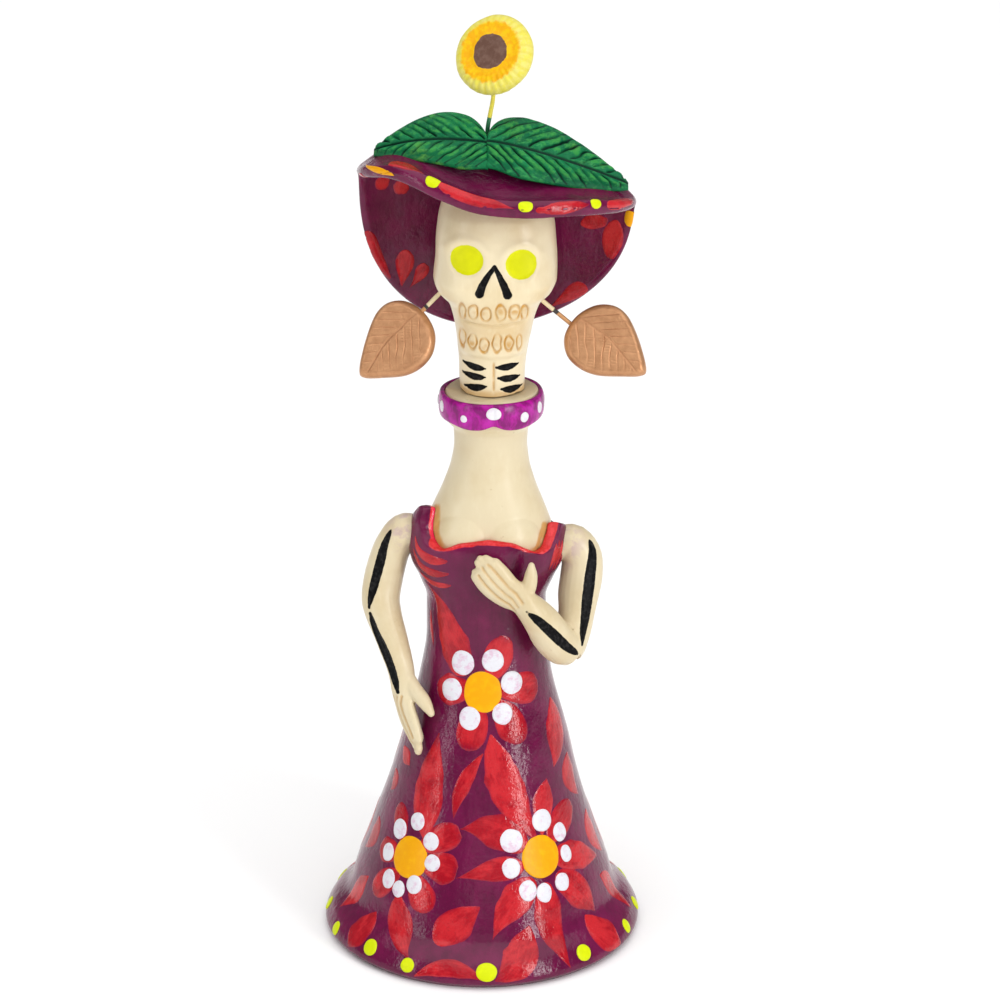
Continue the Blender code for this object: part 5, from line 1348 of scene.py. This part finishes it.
def build_pad(name, node, body, centre, face, away, mirror, seed):
    out = unit(np.asarray(face, float)[None])[0]
    across = unit((np.array([1.0, 0, 0]) - out * out[0])[None])[0]
    up = np.array([0, 0, 1.0]) - out * out[2]
    up = unit((up - across * np.dot(up, across))[None])[0]
    closed = np.array([PAD[(k) % len(PAD)] for k in range(-1, len(PAD) + 2)], float)
    line = []
    for i in range(1, len(PAD) + 1):
        p0, p1, p2, p3 = closed[i - 1], closed[i], closed[i + 1], closed[(i + 2) % len(closed)] if i + 2 < len(closed) else closed[(i + 2) - len(PAD)]
        for k in range(18):
            t = k / 18
            line.append(0.5 * (2 * p1 + (p2 - p0) * t + (2 * p0 - 5 * p1 + 4 * p2 - p3) * t * t + (3 * p1 - p0 - 3 * p2 + p3) * t ** 3))
    line = np.array(line)
    C = len(line)
    half = PAD_T / 2
    prof = [(r, half * 0.98) for r in np.linspace(0.01, 0.84, 60)] \
        + [(0.88, half * 0.93), (0.92, half * 0.83), (0.955, half * 0.66), (0.98, half * 0.45), (0.995, half * 0.2), (1.0, 0.0),
           (0.995, -half * 0.25), (0.975, -half * 0.5), (0.945, -half * 0.72), (0.90, -half * 0.9), (0.84, -half * 0.99)] \
        + [(r, -half) for r in (0.7, 0.5, 0.3, 0.1, 0.01)]
    prof = np.array(prof)
    U = prof[:, :1] * line[None, :, 0].reshape(1, -1)
    V = prof[:, :1] * line[None, :, 1].reshape(1, -1)
    D = prof[:, 1:2] + 0 * U
    # veins: the midrib runs from the wire to the point, the side veins leave it towards the point
    base, tip = np.array([-5.6, 6.6]), np.array([9.6, -8.6])
    ax = (tip - base) / np.linalg.norm(tip - base)
    rel_u, rel_v = U - base[0], V - base[1]
    run = rel_u * ax[0] + rel_v * ax[1]
    off = -rel_u * ax[1] + rel_v * ax[0]
    warp = 0.35 * noise(stack(U, V, 0 * U), 4.0, seed)
    off = off + 0.10 * (run - 8) ** 2 / 8 - 0.4 + warp
    mid = np.exp(-(off / 0.28) ** 2)
    phase = (run - 0.95 * np.abs(off) + warp + np.where(off < 0, 1.1, 0)) / 2.75
    frac = np.abs(phase - np.round(phase))
    vein = np.exp(-(frac / 0.062) ** 2) * ramp(np.abs(off), 0.1, 0.8) * (1 - 0.5 * ramp(np.abs(off), 5, 9))
    small = (run + 1.1 * np.abs(off) + 2 * warp) / 1.15
    fine = np.exp(-(np.abs(small - np.round(small)) / 0.16) ** 2) * 0.28 * ramp(noise(stack(U, V, 0 * U), 2.2, seed + 5), 0.0, 0.5)
    front = ramp(D, half * 0.85, half * 0.97) * (1 - ramp(prof[:, :1] + 0 * U, 0.86, 0.95))
    groove = np.clip(np.maximum(np.maximum(mid, vein), fine), 0, 1) * front
    D = D - 0.22 * groove + 0.12 * noise(stack(U, V, D), 3.0, seed + 2) * ramp(np.abs(D), 0, 1) - 0.05
    P = np.asarray(centre, float) + across * (U * away[0])[..., None] + up * (V * away[1])[..., None] + out * D[..., None]
    R, C = P.shape[:2]
    faces = grid_faces(R, C, wrap_cols=True) + [[j for j in range(C)], [(R - 1) * C + j for j in range(C)]]
    obj_from(name, P.reshape(-1, 3), faces, COPPER, body, node, attrs={"groove": groove})


def copper_material():
    n = Nodes("copper_paint")
    f = n.noise(420, 4.0, 0.6)
    colour = n.mix(n.between(f, 0.35, 0.7), (0.57, 0.295, 0.145), (0.48, 0.235, 0.110))
    # painted shade: darker copper in the vein grooves
    colour = n.mix(n.math("MULTIPLY", n.attr("groove"), 0.30), colour, (0.29, 0.115, 0.050))
    spark = n.noise(5200, 2.0, 0.5)
    rough = n.math("ADD", n.math("MULTIPLY", n.between(spark, 0.45, 0.6), 0.18), 0.36)
    dents = n.bump(n.noise(620, 2.0, 0.5), 0.00012)
    return n.finish(colour, rough, n.bump(n.noise(2600, 3.0, 0.6), 0.000022, dents), metal=0.60)


# ------------------------------------------------------------------ build
CREAM = cream_material()
# painted shade: the bust and arms take a copy of the cream darkened to 0.89, to tone down the light on them
CREAM_BODY_SHADED = cream_material("cream_varnish_body_shaded", 0.89)
GREEN = green_material()
COPPER = copper_material()

build_dress()
paint_dress()
build_bust()
build_choker()
build_arm("right_arm_clay", "right_arm", RIGHT_ARM, RIGHT_HAND_NORMAL, RIGHT_THUMB,
          [(-0.80, 0.86, 1.30), (-0.27, 1.0, 1.35), (0.29, 0.95, 1.35), (0.84, 0.80, 1.25)],
          [([(-22.9, -2.9, 116.2), (-24.4, -3.1, 113.8), (-25.7, -3.2, 110.1), (-26.6, -3.2, 105.9), (-28.0, -3.4, 100.3), (-29.4, -4.7, 93.2)], 1.45),
           ([(-29.1, -5.3, 91.6), (-27.7, -7.2, 87.1), (-25.6, -9.6, 83.0), (-23.8, -11.5, 78.7), (-21.9, -12.5, 72.4)], 1.55)],
          (-18.0, -3.0, 115.0), 21, (0, -1, 0))
build_arm("left_arm_clay", "left_arm", LEFT_ARM, LEFT_HAND_NORMAL, LEFT_THUMB,
          [(-0.74, 0.80, 1.12), (-0.25, 0.96, 1.18), (0.27, 1.0, 1.18), (0.76, 0.94, 1.08)],
          [([(28.6, -3.4, 113.3), (29.2, -4.6, 109.3), (28.7, -6.5, 104.4), (27.9, -8.5, 98.2), (27.4, -10.7, 93.4), (26.8, -13.2, 89.0), (26.7, -14.4, 86.6)], 1.6),
           ([(11.9, -21.3, 98.9), (15.2, -21.5, 95.9), (18.6, -20.3, 92.1), (22.1, -18.4, 87.9), (25.5, -16.0, 84.4)], 1.4)],
          (20.0, -3.0, 111.0), 33, (0.2, -1, 0.1))
build_skull()
build_hat()
paint_hat()
build_leaf("right_hat_leaf_clay", "right_hat_leaf", -1, 11)
build_leaf("left_hat_leaf_clay", "left_hat_leaf", 1, 17)
build_flower()
build_wire("flower_stem_wire", "flower_stem", STEM, "flower",
           banded_wire("stem_paint", [(9.5, (0.012, 0.16, 0.06), 0.0), (99, (0.72, 0.62, 0.05), 0.0)]))
for tag, body, root, end, centre, face, away, seed, bands in (
        ("right", "right_earring", EAR_R_ROOT, EAR_R_END, EAR_R_PAD, EAR_R_FACE, (-0.98, 1.0), 3,
         [(7.3, (0.78, 0.66, 0.42), 0.0), (8.1, (0.02, 0.02, 0.02), 0.2), (99, (0.55, 0.28, 0.12), 0.6)]),
        ("left", "left_earring", EAR_L_ROOT, EAR_L_END, EAR_L_PAD, EAR_L_FACE, (1.03, 0.94), 8,
         [(7.0, (0.78, 0.66, 0.42), 0.0), (8.4, (0.03, 0.025, 0.02), 0.2), (99, (0.55, 0.28, 0.12), 0.6)])):
    r, e = np.asarray(root, float), wire_end(end, centre, face)
    d = (e - r) / np.linalg.norm(e - r)
    build_wire(tag + "_ear_wire_steel", tag + "_ear_wire", [r - d * 2.6, r, e, e + d * 3.0], body, banded_wire(tag + "_wire_paint", bands))
    build_pad(tag + "_ear_leaf_clay", tag + "_ear_leaf", body, centre, face, away, tag == "right", seed)

n = Nodes("peg_wood")
grain = n.noise(260, 4.0, 0.6, stretch=(1.0, 1.0, 0.08), distortion=0.6)
wood = n.finish(n.mix(n.between(grain, 0.35, 0.7), (0.56, 0.38, 0.20), (0.38, 0.22, 0.10)), 0.62, n.bump(grain, 0.0001))
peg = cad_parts["neck_peg"]
peg.data.materials.clear()
peg.data.materials.append(wood)

# ------------------------------------------------------------------ floor, lights, camera
floor_mesh = bpy.data.meshes.new("floor")
floor_mesh.from_pydata([(-60, -60, 0), (60, -60, 0), (60, 60, 0), (-60, 60, 0)], [], [(0, 1, 2, 3)])
fm = Nodes("floor_paper")
floor_mesh.materials.append(fm.finish((0.975, 0.975, 0.975), 0.95, spec=0.0))
floor = bpy.data.objects.new("floor", floor_mesh)
bpy.context.scene.collection.objects.link(floor)


def softbox(name, at, look, size, power, colour=(1, 1, 1)):
    data = bpy.data.lights.new(name, "AREA")
    data.shape = "RECTANGLE"
    data.size, data.size_y = size
    data.energy = power
    data.color = colour
    ob = bpy.data.objects.new(name, data)
    bpy.context.scene.collection.objects.link(ob)
    ob.location = at
    ob.rotation_euler = (Vector(look) - Vector(at)).to_track_quat("-Z", "Y").to_euler()
    return ob


def sun(name, toward, strength, angle):
    data = bpy.data.lights.new(name, "SUN")
    data.energy, data.angle = strength, math.radians(angle)
    ob = bpy.data.objects.new(name, data)
    bpy.context.scene.collection.objects.link(ob)
    ob.rotation_euler = Vector(toward).to_track_quat("Z", "Y").to_euler()
    return ob


sun("ceiling", (0.0, -0.15, 1.0), 2.4, 95)
softbox("right_box", (0.84, -0.89, 0.40), (0, 0, 0.13), (0.15, 0.75), 6.2)
softbox("left_box", (-1.0, -0.70, 0.42), (0, 0, 0.13), (0.11, 0.75), 1.9)
softbox("front_fill", (0.05, -1.35, 0.50), (0, 0, 0.15), (0.9, 0.5), 0.9)
world = bpy.data.worlds.new("studio")
world.use_nodes = True
world.node_tree.nodes["Background"].inputs["Color"].default_value = (1, 1, 1, 1)
world.node_tree.nodes["Background"].inputs["Strength"].default_value = 0.27
bpy.context.scene.world = world
bpy.context.scene.view_settings.view_transform = "Standard"

cam = bpy.data.cameras.new("camera")
cam.lens, cam.sensor_width = 123.48, 36.0
cam.clip_start = 0.01
camera = bpy.data.objects.new("camera", cam)
camera.location = (0.0049, -0.840, 0.4373)
camera.rotation_euler = (math.radians(90 - 20.6), 0, 0)
bpy.context.scene.collection.objects.link(camera)
bpy.context.scene.camera = camera
